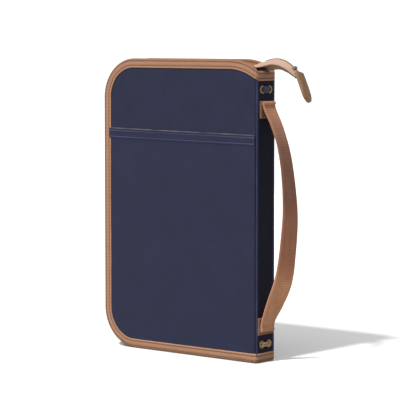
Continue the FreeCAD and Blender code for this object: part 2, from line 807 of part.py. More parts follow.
def tail_half(name, side, stations, leg_share=1.0):
    """One half of the tape, as a thin ruled solid through its cross-sections."""
    half = size("tape_thick").value / 2
    leg = size("tail_leg").value * leg_share
    inner = size("tape_edge").value * 0.5
    sections = []
    for at, down, roll, share in tail_frames(stations):
        way = leg_direction(down, roll, side, share)
        face = Vector(0, 1, 0).cross(down)
        face = face.cross(way).normalize() * half
        near, far = at + way * inner, at + way * leg
        sections.append([near + face, far + face, far - face, near - face])
    feature = doc.addObject("Part::Feature", name)
    feature.Shape = loft(sections)
    feature.Placement = Placement()
    keep(feature, name)


def tail_coil(name, stations):
    half = size("coil_gap").value
    sections = []
    for at, down, roll, share in tail_frames(stations):
        low, high = at + down * half, at - down * half
        across = Vector(0, half * TAIL_COIL_WIDTH_SHARE, 0)
        sections.append([high - across, high + across, low + across, low - across])
    feature = doc.addObject("Part::Feature", name)
    feature.Shape = loft(sections)
    feature.Placement = Placement()
    keep(feature, name)


def make_tail():
    """The tape past the covers' top: a root that stays with the spine and a free tail."""
    for place, side in (("front", -1), ("back", 1)):
        tail_half(f"tail_root_{place}", side, ROOT_STATIONS, ROOT_LEG_SHARE)
        tail_half(f"tail_{place}_tape", side, FREE_STATIONS)
    tail_coil("tail_coil", FREE_STATIONS)


def make_tab():
    """Two layers of leather sewn round the tape's end, hanging from it."""
    last, _, roll, _ = tail_frames([TAIL_END])[0]
    start = last + (TAB_TIP - last).normalize() * size("tab_gap").value
    along = (TAB_TIP - start).normalize()
    outward = Vector(-along.z, 0, along.x).normalize()
    if outward.x < 0:
        outward = outward * -1
    face = outward * math.cos(roll) + Vector(0, 1, 0) * math.sin(roll)
    across = face.cross(along).normalize()
    half = size("tab_wide").value / 2
    length = (TAB_TIP - start).Length
    # drawn flat, with a rounded tip, then stood in place
    shoulder = Vector(length - half, 0, 0)
    edges = [
        Part.LineSegment(Vector(0, -half, 0), Vector(shoulder.x, -half, 0)).toShape(),
        Part.Arc(Vector(shoulder.x, -half, 0), Vector(length, 0, 0),
                 Vector(shoulder.x, half, 0)).toShape(),
        Part.LineSegment(Vector(shoulder.x, half, 0), Vector(0, half, 0)).toShape(),
        Part.LineSegment(Vector(0, half, 0), Vector(0, -half, 0)).toShape(),
    ]
    flat = Part.Face(Part.Wire(edges))
    layer = size("tab_layer").value
    turn = FreeCAD.Matrix(along.x, across.x, face.x, start.x,
                          along.y, across.y, face.y, start.y,
                          along.z, across.z, face.z, start.z,
                          0, 0, 0, 1)
    for name, way in (("tab_outer_leather", 1), ("tab_inner_leather", -1)):
        feature = doc.addObject("Part::Feature", name)
        feature.Shape = flat.extrude(Vector(0, 0, layer * way))
        feature.Placement = Placement(turn)
        keep(feature, name)


def make_end_stop():
    """The metal clip that closes the zip's end, round the coil just before the tab."""
    at = tail_frames([END_STOP_X])[0][0]
    next_at = tail_frames([END_STOP_NEXT_X])[0][0]
    along = (next_at - at).normalize()
    wide, tall, long = (size(f"stop_{way}").value for way in ("wide", "tall", "long"))
    clip = Part.makeBox(long, wide, tall, Vector(-long / 2, -wide / 2, -tall / 2))
    bore = (size("coil_gap") + size("stop_room")).value
    clip = clip.cut(Part.makeBox(long * 2, bore * 2, bore * 2, Vector(-long, -bore, -bore)))
    across = Vector(0, 1, 0)
    up = along.cross(across).normalize()
    turn = FreeCAD.Matrix(along.x, across.x, up.x, at.x, along.y, across.y, up.y, at.y,
                          along.z, across.z, up.z, at.z, 0, 0, 0, 1)
    feature = doc.addObject("Part::Feature", "zip_end_stop")
    feature.Shape = clip
    feature.Placement = Placement(turn)
    keep(feature, "zip_end_stop")


# --- the zip's slider -------------------------------------------------------------------------
def y_cylinder(name, radius, x, z, half_length):
    """A Part cylinder along Y, across the middle plane."""
    shape = doc.addObject("Part::Cylinder", name)
    shape.setExpression("Radius", radius.text)
    shape.setExpression("Height", (half_length * 2).text)
    shape.Placement = Placement(Vector(x.value, -half_length.value, z.value),
                                Rotation(Vector(1, 0, 0), -90))
    for axis, target in (("x", x), ("y", -half_length), ("z", z)):
        shape.setExpression(f"Placement.Base.{axis}", target.text)
    return shape


def make_slider():
    """The slider, parked at the closed end of the zip: two plates joined by a thin post, with
    lips that close round the coil, and ears under it that carry the pull's pin."""
    near = -size("slider_near")
    far = near - size("slider_long")
    half = size("slider_half_width")
    middle = size("zip_inset") + size("tape_thick") * 0.5
    room = size("coil_thick") * 0.5 + size("slider_room")
    plate = size("slider_plate")
    lip = room - size("tape_thick") * 0.5 - size("slider_room") * 2
    lip_wide = size("slider_lip")
    post = size("slider_post_half")
    pieces = [
        box("slider_lower_plate", far, near, -half, half, middle - room - plate, middle - room),
        box("slider_upper_plate", far, near, -half, half, middle + room, middle + room + plate),
        box("slider_post", near - size("slider_post_long"), near, -post, post,
            middle - room, middle + room),
    ]
    for name, low, high in (("front", -half, lip_wide - half), ("back", half - lip_wide, half)):
        pieces.append(box(f"slider_{name}_low_lip", far, near, low, high, middle - room,
                          middle - room + lip))
        pieces.append(box(f"slider_{name}_high_lip", far, near, low, high,
                          middle + room - lip, middle + room))
    eye_x = near - size("eye_set_back")
    eye_top = middle - room - plate
    ear = size("eye_drop")
    ear_in, ear_out = size("ear_near"), size("ear_far")
    for name, low, high in (("front", -ear_out, -ear_in), ("back", ear_in, ear_out)):
        pieces.append(box(f"slider_{name}_ear", eye_x - ear, eye_x + ear, low, high,
                          eye_top - ear * 2, eye_top))
    pin_z = eye_top - ear
    pieces.append(y_cylinder("slider_pin", size("pin_r"), eye_x, pin_z, ear_out))
    keep(fuse("zip_slider", pieces), "zip_slider")
    make_pull(eye_x, pin_z)


def make_pull(eye_x, pin_z):
    """The pull: a narrow neck with a bore for the pin, and a broader grip."""
    thick = size("pull_half_thick")
    neck, grip = size("pull_neck_half"), size("pull_half_width")
    far = eye_x - size("pull_long")
    whole = fuse("pull_whole", [
        box("pull_neck", far, eye_x + size("pull_nose"), -neck, neck, pin_z - thick,
            pin_z + thick),
        box("pull_grip", far, eye_x - size("pull_shoulder"), -grip, grip, pin_z - thick,
            pin_z + thick),
    ])
    pull = doc.addObject("Part::Cut", "zip_pull")
    pull.Base = whole
    pull.Tool = y_cylinder("pull_bore", size("pin_r") + size("pin_room"), eye_x, pin_z,
                           size("ear_far"))
    keep(pull, "zip_pull")


# --- build and write --------------------------------------------------------------------------
make_cover("front", -1)
make_cover("back", 1)
make_outer_pocket()
make_inside_pockets()
make_pen_loop()
make_spine()
make_eyelets()
make_booklet_elastic()
make_tie_cord()
make_patches()
make_handle()
make_tail()
make_tab()
make_end_stop()
make_slider()
doc.recompute()

for obj in doc.Objects:
    if "Invalid" in obj.State or "Error" in obj.State:
        raise RuntimeError(f"{obj.Name} did not compute: {obj.State}")
for obj in parts:
    if obj.Shape.isNull() or not obj.Shape.isValid() or not obj.Shape.Solids:
        raise RuntimeError(f"{obj.Label} has no valid solid")

os.makedirs("parts", exist_ok=True)
for obj in parts:
    obj.Shape.exportStep(f"parts/{obj.Label}.step")
    bounds = obj.Shape.BoundBox
    print(f"{obj.Label:24s} {len(obj.Shape.Solids)} solid(s) {obj.Shape.Volume / 1000:8.2f} cm3"
          f"  X {bounds.XMin:7.1f} {bounds.XMax:7.1f}  Y {bounds.YMin:6.1f} {bounds.YMax:6.1f}"
          f"  Z {bounds.ZMin:6.1f} {bounds.ZMax:6.1f}")
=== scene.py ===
"""Looks of the travel document organizer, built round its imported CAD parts.

Shapes are worked out in millimetres in the CAD's frame (+Z up, the book towards -X, the handle
towards +X, the front cover facing -Y) and scaled to metres as each mesh is made.
"""
import math

import bmesh
import bpy
import numpy as np
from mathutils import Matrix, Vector, noise


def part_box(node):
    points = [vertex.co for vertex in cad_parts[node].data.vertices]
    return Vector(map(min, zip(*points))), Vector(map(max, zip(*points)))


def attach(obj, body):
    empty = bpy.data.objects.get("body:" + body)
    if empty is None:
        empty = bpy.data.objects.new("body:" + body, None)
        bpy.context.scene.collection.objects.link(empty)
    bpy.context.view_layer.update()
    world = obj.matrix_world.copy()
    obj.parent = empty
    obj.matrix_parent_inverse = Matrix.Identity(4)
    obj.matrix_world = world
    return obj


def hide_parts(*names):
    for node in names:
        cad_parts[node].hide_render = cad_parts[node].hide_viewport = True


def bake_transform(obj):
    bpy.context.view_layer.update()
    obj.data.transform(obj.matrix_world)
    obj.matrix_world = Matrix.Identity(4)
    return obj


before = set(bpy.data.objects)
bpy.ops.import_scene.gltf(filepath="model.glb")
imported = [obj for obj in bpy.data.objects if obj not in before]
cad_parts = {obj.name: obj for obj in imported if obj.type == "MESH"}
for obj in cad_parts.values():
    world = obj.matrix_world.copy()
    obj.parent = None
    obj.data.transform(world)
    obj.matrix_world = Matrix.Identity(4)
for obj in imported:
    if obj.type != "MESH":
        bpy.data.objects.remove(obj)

MM = 0.001
scene = bpy.context.scene
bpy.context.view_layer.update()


# --- sizes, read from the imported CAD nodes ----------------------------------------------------
def mm_box(node):
    """Lowest and highest corner of a CAD node, in millimetres."""
    low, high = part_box(node)
    return low / MM, high / MM


BINDING_LOW, BINDING_HIGH = mm_box("front_binding")
POCKET_LOW, POCKET_HIGH = mm_box("front_pocket_panel")
TAPE_LOW, TAPE_HIGH = mm_box("front_zip_tape")
SPINE_BIND_LOW, SPINE_BIND_HIGH = mm_box("spine_top_binding")
COIL_END = mm_box("front_zip_coil")[1].x
SPINE_BACK = mm_box("spine_lining")[0].x    # X of the lining's inner face

OPEN_EDGE, FOLD_EDGE = BINDING_LOW.x, BINDING_HIGH.x
HEIGHT = BINDING_HIGH.z
SPINE_TOP = SPINE_BIND_HIGH.z
SHOULDER_R = 64.0                           # the covers' top falls in this arc to the fold
SHOULDER_X = FOLD_EDGE - 28.0
SHOULDER_RUN = 32.0                         # rows are spaced for this length of the arc
CORNER_R = 38.0
OUTER = -BINDING_LOW.y                      # |Y| of the binding's outer face
BINDING_DEEP = BINDING_HIGH.y - BINDING_LOW.y
CANVAS_OUT = -mm_box("front_panel")[0].y
LINING_IN = -mm_box("front_lining")[1].y
BINDING_WIDE = POCKET_LOW.z
HEM_RISE = 2.0                              # the hem is higher at the open edge
HEM_TOP = POCKET_HIGH.z - HEM_RISE
SPINE_OUT = SPINE_BIND_HIGH.x               # X of the spine binding's outer face
SPINE_CANVAS = mm_box("spine_panel")[1].x
PUCKER_PITCH = 3.4                          # one stitch of the binding
STITCH_INNER, STITCH_OUTER = 6.7, 2.3       # the binding's two rows, inset from the edge
ROOT_Y = 11.6                               # half of the spine's cloth, up to the fold strips


# --- mesh helpers -----------------------------------------------------------------------------
def rough(x, y, z, scale):
    """Smooth noise from -1 to 1 at a point in millimetres; scale is the size of its features."""
    return noise.noise(Vector((x / scale, y / scale, z / scale)))


def add_mesh(name, verts, faces, uvs, material, sharp=50.0):
    """A mesh object from millimetre vertices, with one UV pair in millimetres per corner."""
    mesh = bpy.data.meshes.new(name)
    mesh.from_pydata((np.asarray(verts, float) * MM).tolist(), [], faces)
    layer = mesh.uv_layers.new(name="cloth")
    layer.data.foreach_set("uv", np.array([uv for face in uvs for uv in face], float).ravel())
    bm = bmesh.new()
    bm.from_mesh(mesh)
    bmesh.ops.recalc_face_normals(bm, faces=bm.faces)
    bm.to_mesh(mesh)
    bm.free()
    mesh.materials.append(material)
    mesh.polygons.foreach_set("use_smooth", [True] * len(mesh.polygons))
    mesh.set_sharp_from_angle(angle=math.radians(sharp))
    obj = bpy.data.objects.new(name, mesh)
    scene.collection.objects.link(obj)
    return obj


def lengths(points):
    """Distance along a run of points, from 0."""
    steps = np.linalg.norm(np.diff(points, axis=0), axis=1)
    return np.concatenate([[0.0], np.cumsum(steps)])


def grid_faces(rows, cols, uv, first=0, wrap=True, loop=False, caps=()):
    """Quads over rows by columns of vertices counted from first, with their UVs from
    uv(row, column).  wrap closes the columns and loop the rows; caps are rows to be filled."""
    faces, uvs = [], []
    for i in range(rows if loop else rows - 1):
        low, high = first + i * cols, first + (i + 1) % rows * cols
        for j in range(cols if wrap else cols - 1):
            k = (j + 1) % cols
            faces.append((low + j, low + k, high + k, high + j))
            uvs.append((uv(i, j), uv(i, j + 1), uv(i + 1, j + 1), uv(i + 1, j)))
    for i in caps:
        faces.append([first + i * cols + j for j in range(cols)])
        uvs.append([uv(i, j) for j in range(cols)])
    return faces, uvs


def sweep(name, grid, material, plane=None, along=None):
    """A closed and capped skin over rows of points.  UVs are distances along and across it, or
    two of the axes named in plane."""
    grid = np.asarray(grid, float)
    rows, cols = grid.shape[:2]
    if along is None:
        along = lengths(grid.mean(axis=1))
    middle = grid[rows // 2]
    across = lengths(np.concatenate([middle, middle[:1]]))

    def uv(i, j):
        if plane:
            return tuple(grid[i, j % cols][["xyz".index(c) for c in plane]])
        return along[i], across[j]

    return add_mesh(name, grid.reshape(-1, 3), *grid_faces(rows, cols, uv, caps=(0, rows - 1)),
                    material)


def copies(name, grids, uv, material, sharp, **options):
    """Many small skins of one shape, as one mesh."""
    verts, faces, uvs = [], [], []
    for grid in grids:
        more = grid_faces(len(grid), len(grid[0]), uv, len(verts), **options)
        faces += more[0]
        uvs += more[1]
        verts += [point for row in grid for point in row]
    return add_mesh(name, verts, faces, uvs, material, sharp)


def carried(section, origins, us, vs):
    """A section of (u, v) points carried along origins with directions us and vs."""
    section = np.asarray(section, float)
    vs = np.broadcast_to(vs, us.shape)
    return (origins[:, None, :] + us[:, None, :] * section[None, :, 0, None]
            + vs[:, None, :] * section[None, :, 1, None])


def upright(points, y=0.0):
    """3-D points, or directions, from (x, z) pairs."""
    points = np.asarray(points, float)
    return np.column_stack([points[:, 0], np.full(len(points), y), points[:, 1]])


def ring(count):
    """Angles of count points round a circle."""
    return np.linspace(0, 2 * math.pi, count + 1)[:-1]


def smooth_path(points, step):
    """Evenly spaced points on a Catmull-Rom curve through the given ones."""
    p = np.asarray(points, float)
    p = np.vstack([2 * p[0] - p[1], p, 2 * p[-1] - p[-2]])
    fine = []
    for a, b, c, d in zip(p, p[1:], p[2:], p[3:]):
        for t in np.linspace(0, 1, 40, endpoint=False):
            fine.append(0.5 * (2 * b + (c - a) * t + (2 * a - 5 * b + 4 * c - d) * t * t
                               + (3 * b - a - 3 * c + d) * t ** 3))
    fine = np.array(fine + [p[-2]])
    return resample(fine, step)


def resample(points, step):
    run = lengths(points)
    count = max(int(round(run[-1] / step)), 2) + 1
    at = np.linspace(0, run[-1], count)
    return np.column_stack([np.interp(at, run, points[:, k]) for k in range(points.shape[1])])


def tangents(points):
    t = np.gradient(points, axis=0)
    return t / np.linalg.norm(t, axis=1)[:, None]


def stitches(name, centres, ways, outs, material, long=2.2, r=0.3):
    """Thread seen between its holes: one mesh of grains, each sunk into the cloth at its ends.
    outs is one outward direction, or one for each stitch."""
    centres, ways, outs = (np.asarray(a, float) for a in (centres, ways, outs))
    outs = np.broadcast_to(outs, centres.shape)
    ways = ways / np.linalg.norm(ways, axis=1)[:, None]
    sides = np.cross(ways, outs)
    rings = [centres - ways * long / 2 - outs * r]
    for end in (-0.3, 0.3):
        for out, side in ((1, 0), (0, 1), (-1, 0), (0, -1)):
            rings.append(centres + ways * long * end + outs * r * out + sides * r * side)
    rings.append(centres + ways * long / 2 - outs * r)
    verts = np.stack(rings, axis=1)
    one = [(0, 1 + k, 1 + (k + 1) % 4) for k in range(4)]
    one += [(1 + k, 5 + k, 5 + (k + 1) % 4, 1 + (k + 1) % 4) for k in range(4)]
    one += [(9, 5 + (k + 1) % 4, 5 + k) for k in range(4)]
    faces, uvs = [], []
    for i in range(len(centres)):
        for face in one:
            faces.append(tuple(i * 10 + v for v in face))
            uvs.append([(0.3 * v, 0.2 * i) for v in face])
    return add_mesh(name, verts.reshape(-1, 3), faces, uvs, material, sharp=180.0)


def row_between(start, end, pitch):
    """Centres and directions of a straight row of stitches."""
    start, end = np.asarray(start, float), np.asarray(end, float)
    count = max(int(np.linalg.norm(end - start) / pitch), 1)
    shares = (np.arange(count) + 0.5) / count
    centres = start + (end - start) * shares[:, None]
    return centres, np.tile((end - start) / np.linalg.norm(end - start), (count, 1))


def sew(name, body, slot, lines, out, material, pitch=PUCKER_PITCH, long=2.2, r=0.3):
    """Straight rows of stitches that share one outward direction, as one piece."""
    centres, ways = zip(*(row_between(a, b, pitch) for a, b in lines))
    row = stitches(name, np.vstack(centres), np.vstack(ways), out, material, long, r)
    dress(row, body, slot)


def dress(obj, body, slot, *nodes):
    """The piece rides on a body and stands for CAD nodes; slot is not used."""
    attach(obj, body)
    return stand_for(obj, slot, *nodes)


def stand_for(obj, slot, *nodes):
    if nodes:
        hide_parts(*nodes)
    return obj


def painted_cad(node, material):
    """A CAD node shown as it is, in its material."""
    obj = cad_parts[node]
    obj.data.materials.clear()
    obj.data.materials.append(material)
    return obj


def blend_mm(obj):
    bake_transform(obj)


# --- the cover's outline ----------------------------------------------------------------------
def arc(centre, r, start, end, step):
    """Points on an arc and their directions from its centre; angles in degrees."""
    count = max(int(abs(math.radians(end - start)) * r / step), 4)
    a = np.radians(np.linspace(start, end, count + 1))
    way = np.column_stack([np.cos(a), np.sin(a)])
    return np.asarray(centre, float) + way * r, way


def straight(start, end, step):
    count = max(int(math.dist(start, end) / step), 2)
    return np.linspace(start, end, count + 1)


def outline(inset, step=1.0, top_end=None, bottom_end=None):
    """(x, z) points and inward normals along a cover's edge, inset, from the fold's bottom to
    its top.  With top_end, the run goes straight on at the top to that X, as the zip does."""
    left, r = OPEN_EDGE + CORNER_R, CORNER_R
    bottom_end = FOLD_EDGE if bottom_end is None else bottom_end
    runs = []

    def add_line(start, end, normal):
        line = straight(start, end, step)
        runs.append((line, np.tile(np.asarray(normal, float), (len(line), 1))))

    add_line((bottom_end, 0.0), (left, 0.0), (0, 1))
    points, way = arc((left, r), r, -90, -180, step)
    runs.append((points, -way))
    add_line((OPEN_EDGE, r), (OPEN_EDGE, HEIGHT - r), (1, 0))
    points, way = arc((left, HEIGHT - r), r, 180, 90, step)
    runs.append((points, -way))
    add_line((left, HEIGHT), (SHOULDER_X if top_end is None else top_end, HEIGHT), (0, -1))
    if top_end is None:
        turn = math.degrees(math.asin((FOLD_EDGE - SHOULDER_X) / (SHOULDER_R - inset)))
        angle = np.radians(90 - turn * np.linspace(0, 1, int(SHOULDER_RUN / step) + 1))
        way = np.column_stack([np.cos(angle), np.sin(angle)])
        runs.append((np.array([SHOULDER_X, HEIGHT - SHOULDER_R]) + way * SHOULDER_R, -way))
    points, normals = (np.vstack([run[k][:-1] for run in runs] + [runs[-1][k][-1:]])
                       for k in (0, 1))
    return points + normals * inset, normals


def left_at(z, inset):
    """X of the cover's open edge at a height, inset."""
    r = CORNER_R - inset
    over = max(CORNER_R - z, z - (HEIGHT - CORNER_R), 0.0)
    return OPEN_EDGE + CORNER_R - math.sqrt(max(r * r - min(over, r) ** 2, 0.0))


def right_at(z, inset, fold=FOLD_EDGE):
    """X of the cover's edge beside the spine at a height: on the shoulder's arc near the top."""
    over = z - (HEIGHT - SHOULDER_R)
    r = SHOULDER_R - inset
    if over <= 0 or over >= r:
        return fold if over <= 0 else SHOULDER_X
    return min(fold, SHOULDER_X + math.sqrt(r * r - over * over))


def cover_rows(low, high, inset, step=5.0):
    """Heights of a panel's rows from low to high, closer together in the round corners."""
    r = CORNER_R - inset
    turn = np.linspace(0, math.pi / 2, 14)
    corner = inset + r * (1 - np.cos(turn))
    top = HEIGHT - inset
    levels = np.concatenate([corner, np.arange(CORNER_R + step, top - r, step),
                             top - corner[::-1],
                             np.linspace(SPINE_TOP - inset, top, 16)])
    levels = np.unique(np.round(levels[(levels > low) & (levels < high)], 2))
    return np.concatenate([[low], levels, [high]])


def plate_grid(levels, left, right, outer, inner, columns=44):
    """Rows of closed loops: the outer face from left to right, then the inner face back.
    left and right give X at a height; outer and inner give Y at an (x, z)."""
    rows = []
    for z in levels:
        xs = np.linspace(left(z), right(z), columns)
        close = right(z) - np.array([3.0, 2.2, 1.5, 1.0, 0.5])
        xs = np.sort(np.concatenate([xs[:-1], close, xs[-1:]]))
        rows.append([(x, outer(x, z), z) for x in xs] + [(x, inner(x, z), z) for x in xs[::-1]])
    return np.array(rows, float)


# --- materials --------------------------------------------------------------------------------
class Shader:
    """A node material under construction."""

    def __init__(self, name, **sockets):
        self.material = bpy.data.materials.new(name)
        self.material.use_nodes = True
        self.tree = self.material.node_tree
        self.surface = self.tree.nodes["Principled BSDF"]
        for key, value in sockets.items():
            self.surface.inputs[key.replace("_", " ")].default_value = value
        self.uv = self.node("ShaderNodeTexCoord").outputs["UV"]

    def node(self, kind, inputs=None, **settings):
        new = self.tree.nodes.new(kind)
        for key, value in settings.items():
            setattr(new, key, value)
        for key, value in (inputs or {}).items():
            if isinstance(value, bpy.types.NodeSocket):
                self.tree.links.new(value, new.inputs[key])
            else:
                new.inputs[key].default_value = value
        return new

    def stretched(self, x, y):
        """UVs scaled along and across the cloth."""
        return self.node("ShaderNodeMapping", {"Vector": self.uv, "Scale": (x, y, 1.0)}
                         ).outputs[0]

    def turned(self, degrees):
        """UVs turned in their plane, for a diagonal weave."""
        turn = (0.0, 0.0, math.radians(degrees))
        return self.node("ShaderNodeMapping", {"Vector": self.uv, "Rotation": turn}).outputs[0]

    def noise(self, vector, scale, detail=4.0, roughness=0.6):
        return self.node("ShaderNodeTexNoise", {
            "Vector": vector, "Scale": scale, "Detail": detail, "Roughness": roughness
        }).outputs["Fac"]

    def waves(self, vector, pitch, direction, wobble=0.6):
        """Parallel ridges, pitch millimetres apart."""
        return self.node("ShaderNodeTexWave", {
            "Vector": vector, "Scale": math.pi / 10 / pitch, "Distortion": wobble,
            "Detail": 1.0, "Detail Scale": 1.5}, bands_direction=direction).outputs["Fac"]

    def maths(self, operation, a, b):
        return self.node("ShaderNodeMath", {0: a, 1: b}, operation=operation).outputs[0]

    def blended(self, a, share_a, b, share_b):
        """Two values, each times its share, added up."""
        return self.maths("ADD", self.maths("MULTIPLY", a, share_a),
                          self.maths("MULTIPLY", b, share_b))

    def ramp(self, factor, stops):
        ramp = self.node("ShaderNodeValToRGB", {"Fac": factor})
        elements = ramp.color_ramp.elements
        while len(elements) < len(stops):
            elements.new(0.5)
        for element, (place, colour) in zip(elements, stops):
            element.position = place
            element.color = (*colour, 1.0)
        return ramp.outputs["Color"]

    def mix(self, factor, a, b, blend="MIX"):
        mix = self.node("ShaderNodeMix", {0: factor, 6: a, 7: b}, data_type="RGBA",
                        blend_type=blend)
        return mix.outputs[2]

    def times(self, share, base, factor, stops):
        """base, darkened for a share by a ramp of factor."""
        return self.mix(share, base, self.ramp(factor, stops), "MULTIPLY")

    def axis(self, name):
        """One of the UVs: X is along the cloth and Y across it."""
        return self.node("ShaderNodeSeparateXYZ", {"Vector": self.uv}).outputs[name]

    def ranged(self, value, **ends):
        names = {key.replace("_", " "): end for key, end in ends.items()}
        return self.node("ShaderNodeMapRange", {"Value": value, **names}).outputs[0]

    def colour(self, socket):
        self.tree.links.new(socket, self.surface.inputs["Base Color"])

    def bump(self, height, strength, distance):
        bump = self.node("ShaderNodeBump", {"Height": height, "Strength": strength,
                                            "Distance": distance * MM})
        self.tree.links.new(bump.outputs[0], self.surface.inputs["Normal"])

    def roughness(self, factor, low, high):
        spread = self.ranged(factor, To_Min=low, To_Max=high)
        self.tree.links.new(spread, self.surface.inputs["Roughness"])


BLACK, WHITE = (0.0, 0.0, 0.0), (1.0, 1.0, 1.0)


def shade(colour, factor):
    return tuple(min(c * factor, 1.0) for c in colour)


def rgba(colour):
    return (*colour, 1.0)


def canvas_material(name, colour, mottling=0.22, hem=None):
    """Waxed canvas: a plain weave with slubs, and uneven wax.  hem is a height in the UVs at
    which the cloth's folded edge is worn pale."""
    s = Shader(name, Roughness=0.85, Sheen_Weight=0.03, Specular_IOR_Level=0.3)
    warp = s.waves(s.uv, 0.62, "X", 0.8)
    weft = s.waves(s.uv, 0.7, "Y", 0.8)
    weave = s.maths("MULTIPLY", warp, weft)
    slub_weft = s.noise(s.stretched(0.12, 1.3), 1.0, 3.0)
    slub_warp = s.noise(s.stretched(1.4, 0.1), 1.0, 3.0)
    cloud = s.noise(s.uv, 0.035, 5.0, 0.65)
    speck = s.noise(s.uv, 0.75, 4.0, 0.7)
    tone = s.blended(s.blended(slub_weft, 0.5, slub_warp, 0.5), 0.5, cloud, 0.5)
    dark, light = shade(colour, 1 - mottling), shade(colour, 1 + mottling)
    base = s.ramp(tone, [(0.36, dark), (0.5, colour), (0.64, light)])
    worn = s.mix(s.maths("MULTIPLY", s.maths("POWER", speck, 3.0), 0.35), base,
                 rgba(shade(colour, 1.9)))
    if hem is not None:
        edge = s.ranged(s.axis("Y"), From_Min=hem - 1.0, From_Max=hem - 0.3)
        patchy = s.noise(s.stretched(0.08, 0.5), 1.0, 3.0)
        edge = s.maths("MULTIPLY", edge, s.ranged(patchy, From_Min=0.35, From_Max=0.6))
        worn = s.mix(edge, worn, (0.16, 0.135, 0.125, 1.0))
    s.colour(worn)
    s.bump(s.blended(weave, 0.7, speck, 0.8), 0.55, 0.25)
    s.roughness(cloud, 0.72, 0.92)
    return s.material


def binding_material(name):
    """Folded cotton tape: bands of tone across it, from the pale inner fold over the sewn
    middle, with painted shade in the dips along its two rows of stitches, to the darker
    brown outer edge, the same on its other leg."""
    s = Shader(name, Roughness=0.85, Sheen_Weight=0.15, Sheen_Roughness=0.5)
    share = s.maths("DIVIDE", s.axis("Y"), 25.0)
    pale, tan, rose = (0.52, 0.29, 0.15), (0.38, 0.215, 0.125), (0.42, 0.24, 0.15)
    # sewn_row_shade is painted shade: a darker band along each row of stitches, where the tape
    # dips.
    sewn_row_shade, brown, edge = (0.27, 0.15, 0.085), (0.33, 0.18, 0.1), (0.25, 0.13, 0.07)
    outer_leg = [(0.0, pale), (0.045, pale), (0.075, tan), (0.1, sewn_row_shade), (0.12, tan),
                 (0.19, rose), (0.25, tan), (0.275, sewn_row_shade), (0.3, brown), (0.40, edge)]
    inner_leg = [(0.55, edge), (0.70, tan), (0.76, tan), (0.93, pale)]
    bands = s.ramp(share, outer_leg + inner_leg)
    mottle = s.noise(s.stretched(0.9, 0.9), 1.0, 5.0, 0.75)
    patchy = s.noise(s.stretched(0.05, 0.3), 1.0, 4.0)
    base = s.times(0.55, bands, mottle, [(0.3, (0.35, 0.33, 0.31)), (0.7, (0.95,) * 3)])
    base = s.times(0.35, base, patchy, [(0.35, (0.75, 0.7, 0.66)), (0.65, WHITE)])
    s.colour(s.mix(1.0, base, (1.34, 1.2, 1.14, 1.0), "MULTIPLY"))
    twill = s.waves(s.turned(38), 0.8, "X", 0.5)
    s.bump(s.maths("ADD", s.maths("MULTIPLY", twill, 0.6), mottle), 0.6, 0.3)
    s.roughness(mottle, 0.75, 0.95)
    return s.material


STRAP_LENGTH = 218.0                        # mm along the handle, from end to end
RIB_PITCH = 2.3


def webbing_material(name):
    """Ribbed cotton webbing, paler along its edges, with painted light and shade along its length.
    """
    s = Shader(name, Roughness=0.8, Sheen_Weight=0.2, Sheen_Roughness=0.45)
    across, along = s.axis("Y"), s.axis("X")
    colour = (0.41, 0.225, 0.13)
    ribs = s.waves(s.uv, RIB_PITCH, "X", 0.12)
    fine = s.noise(s.stretched(1.2, 0.35), 1.0, 5.0, 0.7)
    cloud = s.noise(s.stretched(0.05, 0.12), 1.0, 4.0)
    base = s.ramp(cloud, [(0.35, shade(colour, 0.88)), (0.65, shade(colour, 1.12))])
    base = s.times(0.5, base, fine, [(0.3, (0.62,) * 3), (0.7, WHITE)])
    base = s.times(0.35, base, ribs, [(0.1, (0.6, 0.56, 0.52)), (0.6, WHITE)])
    selvage = s.ramp(s.maths("DIVIDE", across, 44.0), [
        (0.0, WHITE), (0.03, BLACK), (0.42, BLACK), (0.455, WHITE), (0.52, WHITE), (0.56, BLACK)])
    base = s.mix(s.maths("MULTIPLY", selvage, 0.55), base, rgba((0.6, 0.36, 0.21)))
    # Painted light and shade along the strap: lighter over its lower part, which the floor's light
    # falls on, darker over its upper middle, which turns from the light, and lighter again at its
    # head.
    s.colour(s.times(1.0, base, s.maths("DIVIDE", along, STRAP_LENGTH), [
        (0.0, (1.6, 1.36, 1.2)), (0.22, (1.8, 1.5, 1.3)), (0.31, (1.2, 0.88, 0.82)),
        (0.46, (1.1, 0.8, 0.74)), (0.58, (0.76, 0.55, 0.5)), (0.80, (0.7, 0.5, 0.44)),
        (0.92, (1.05, 0.85, 0.75)), (1.0, (1.3, 1.05, 0.92))]))
    s.bump(s.maths("ADD", fine, s.maths("MULTIPLY", ribs, 0.5)), 0.5, 0.3)
    return s.material


def tape_material(name, colour):
    """Woven zip tape: a fine herringbone in lengthwise stripes."""
    s = Shader(name, Roughness=0.75, Sheen_Weight=0.2, Sheen_Roughness=0.4)
    left = s.waves(s.turned(35), 0.7, "X", 0.3)
    right = s.waves(s.turned(-35), 0.7, "X", 0.3)
    stripes = s.waves(s.uv, 3.2, "Y", 0.0)
    bone = s.mix(stripes, left, right)
    fine = s.noise(s.stretched(0.4, 1.1), 1.0, 4.0)
    base = s.ramp(fine, [(0.3, shade(colour, 0.85)), (0.7, shade(colour, 1.1))])
    s.colour(s.mix(0.2, base, bone, "MULTIPLY"))
    s.bump(bone, 0.4, 0.15)
    return s.material


def twill_material(name, colour):
    """Plain lining cloth."""
    s = Shader(name, Roughness=0.85, Sheen_Weight=0.1, Sheen_Roughness=0.5)
    twill = s.waves(s.turned(60), 0.75, "X", 0.4)
    cloud = s.noise(s.uv, 0.03, 5.0)
    fine = s.noise(s.uv, 0.9, 4.0, 0.7)
    base = s.ramp(s.blended(cloud, 0.6, fine, 0.4), [(0.35, shade(colour, 0.86)),
                                                     (0.65, shade(colour, 1.1))])
    s.colour(s.times(0.18, base, twill, [(0.0, (0.6,) * 3), (0.7, WHITE)]))
    s.bump(s.maths("ADD", twill, fine), 0.45, 0.18)
    return s.material


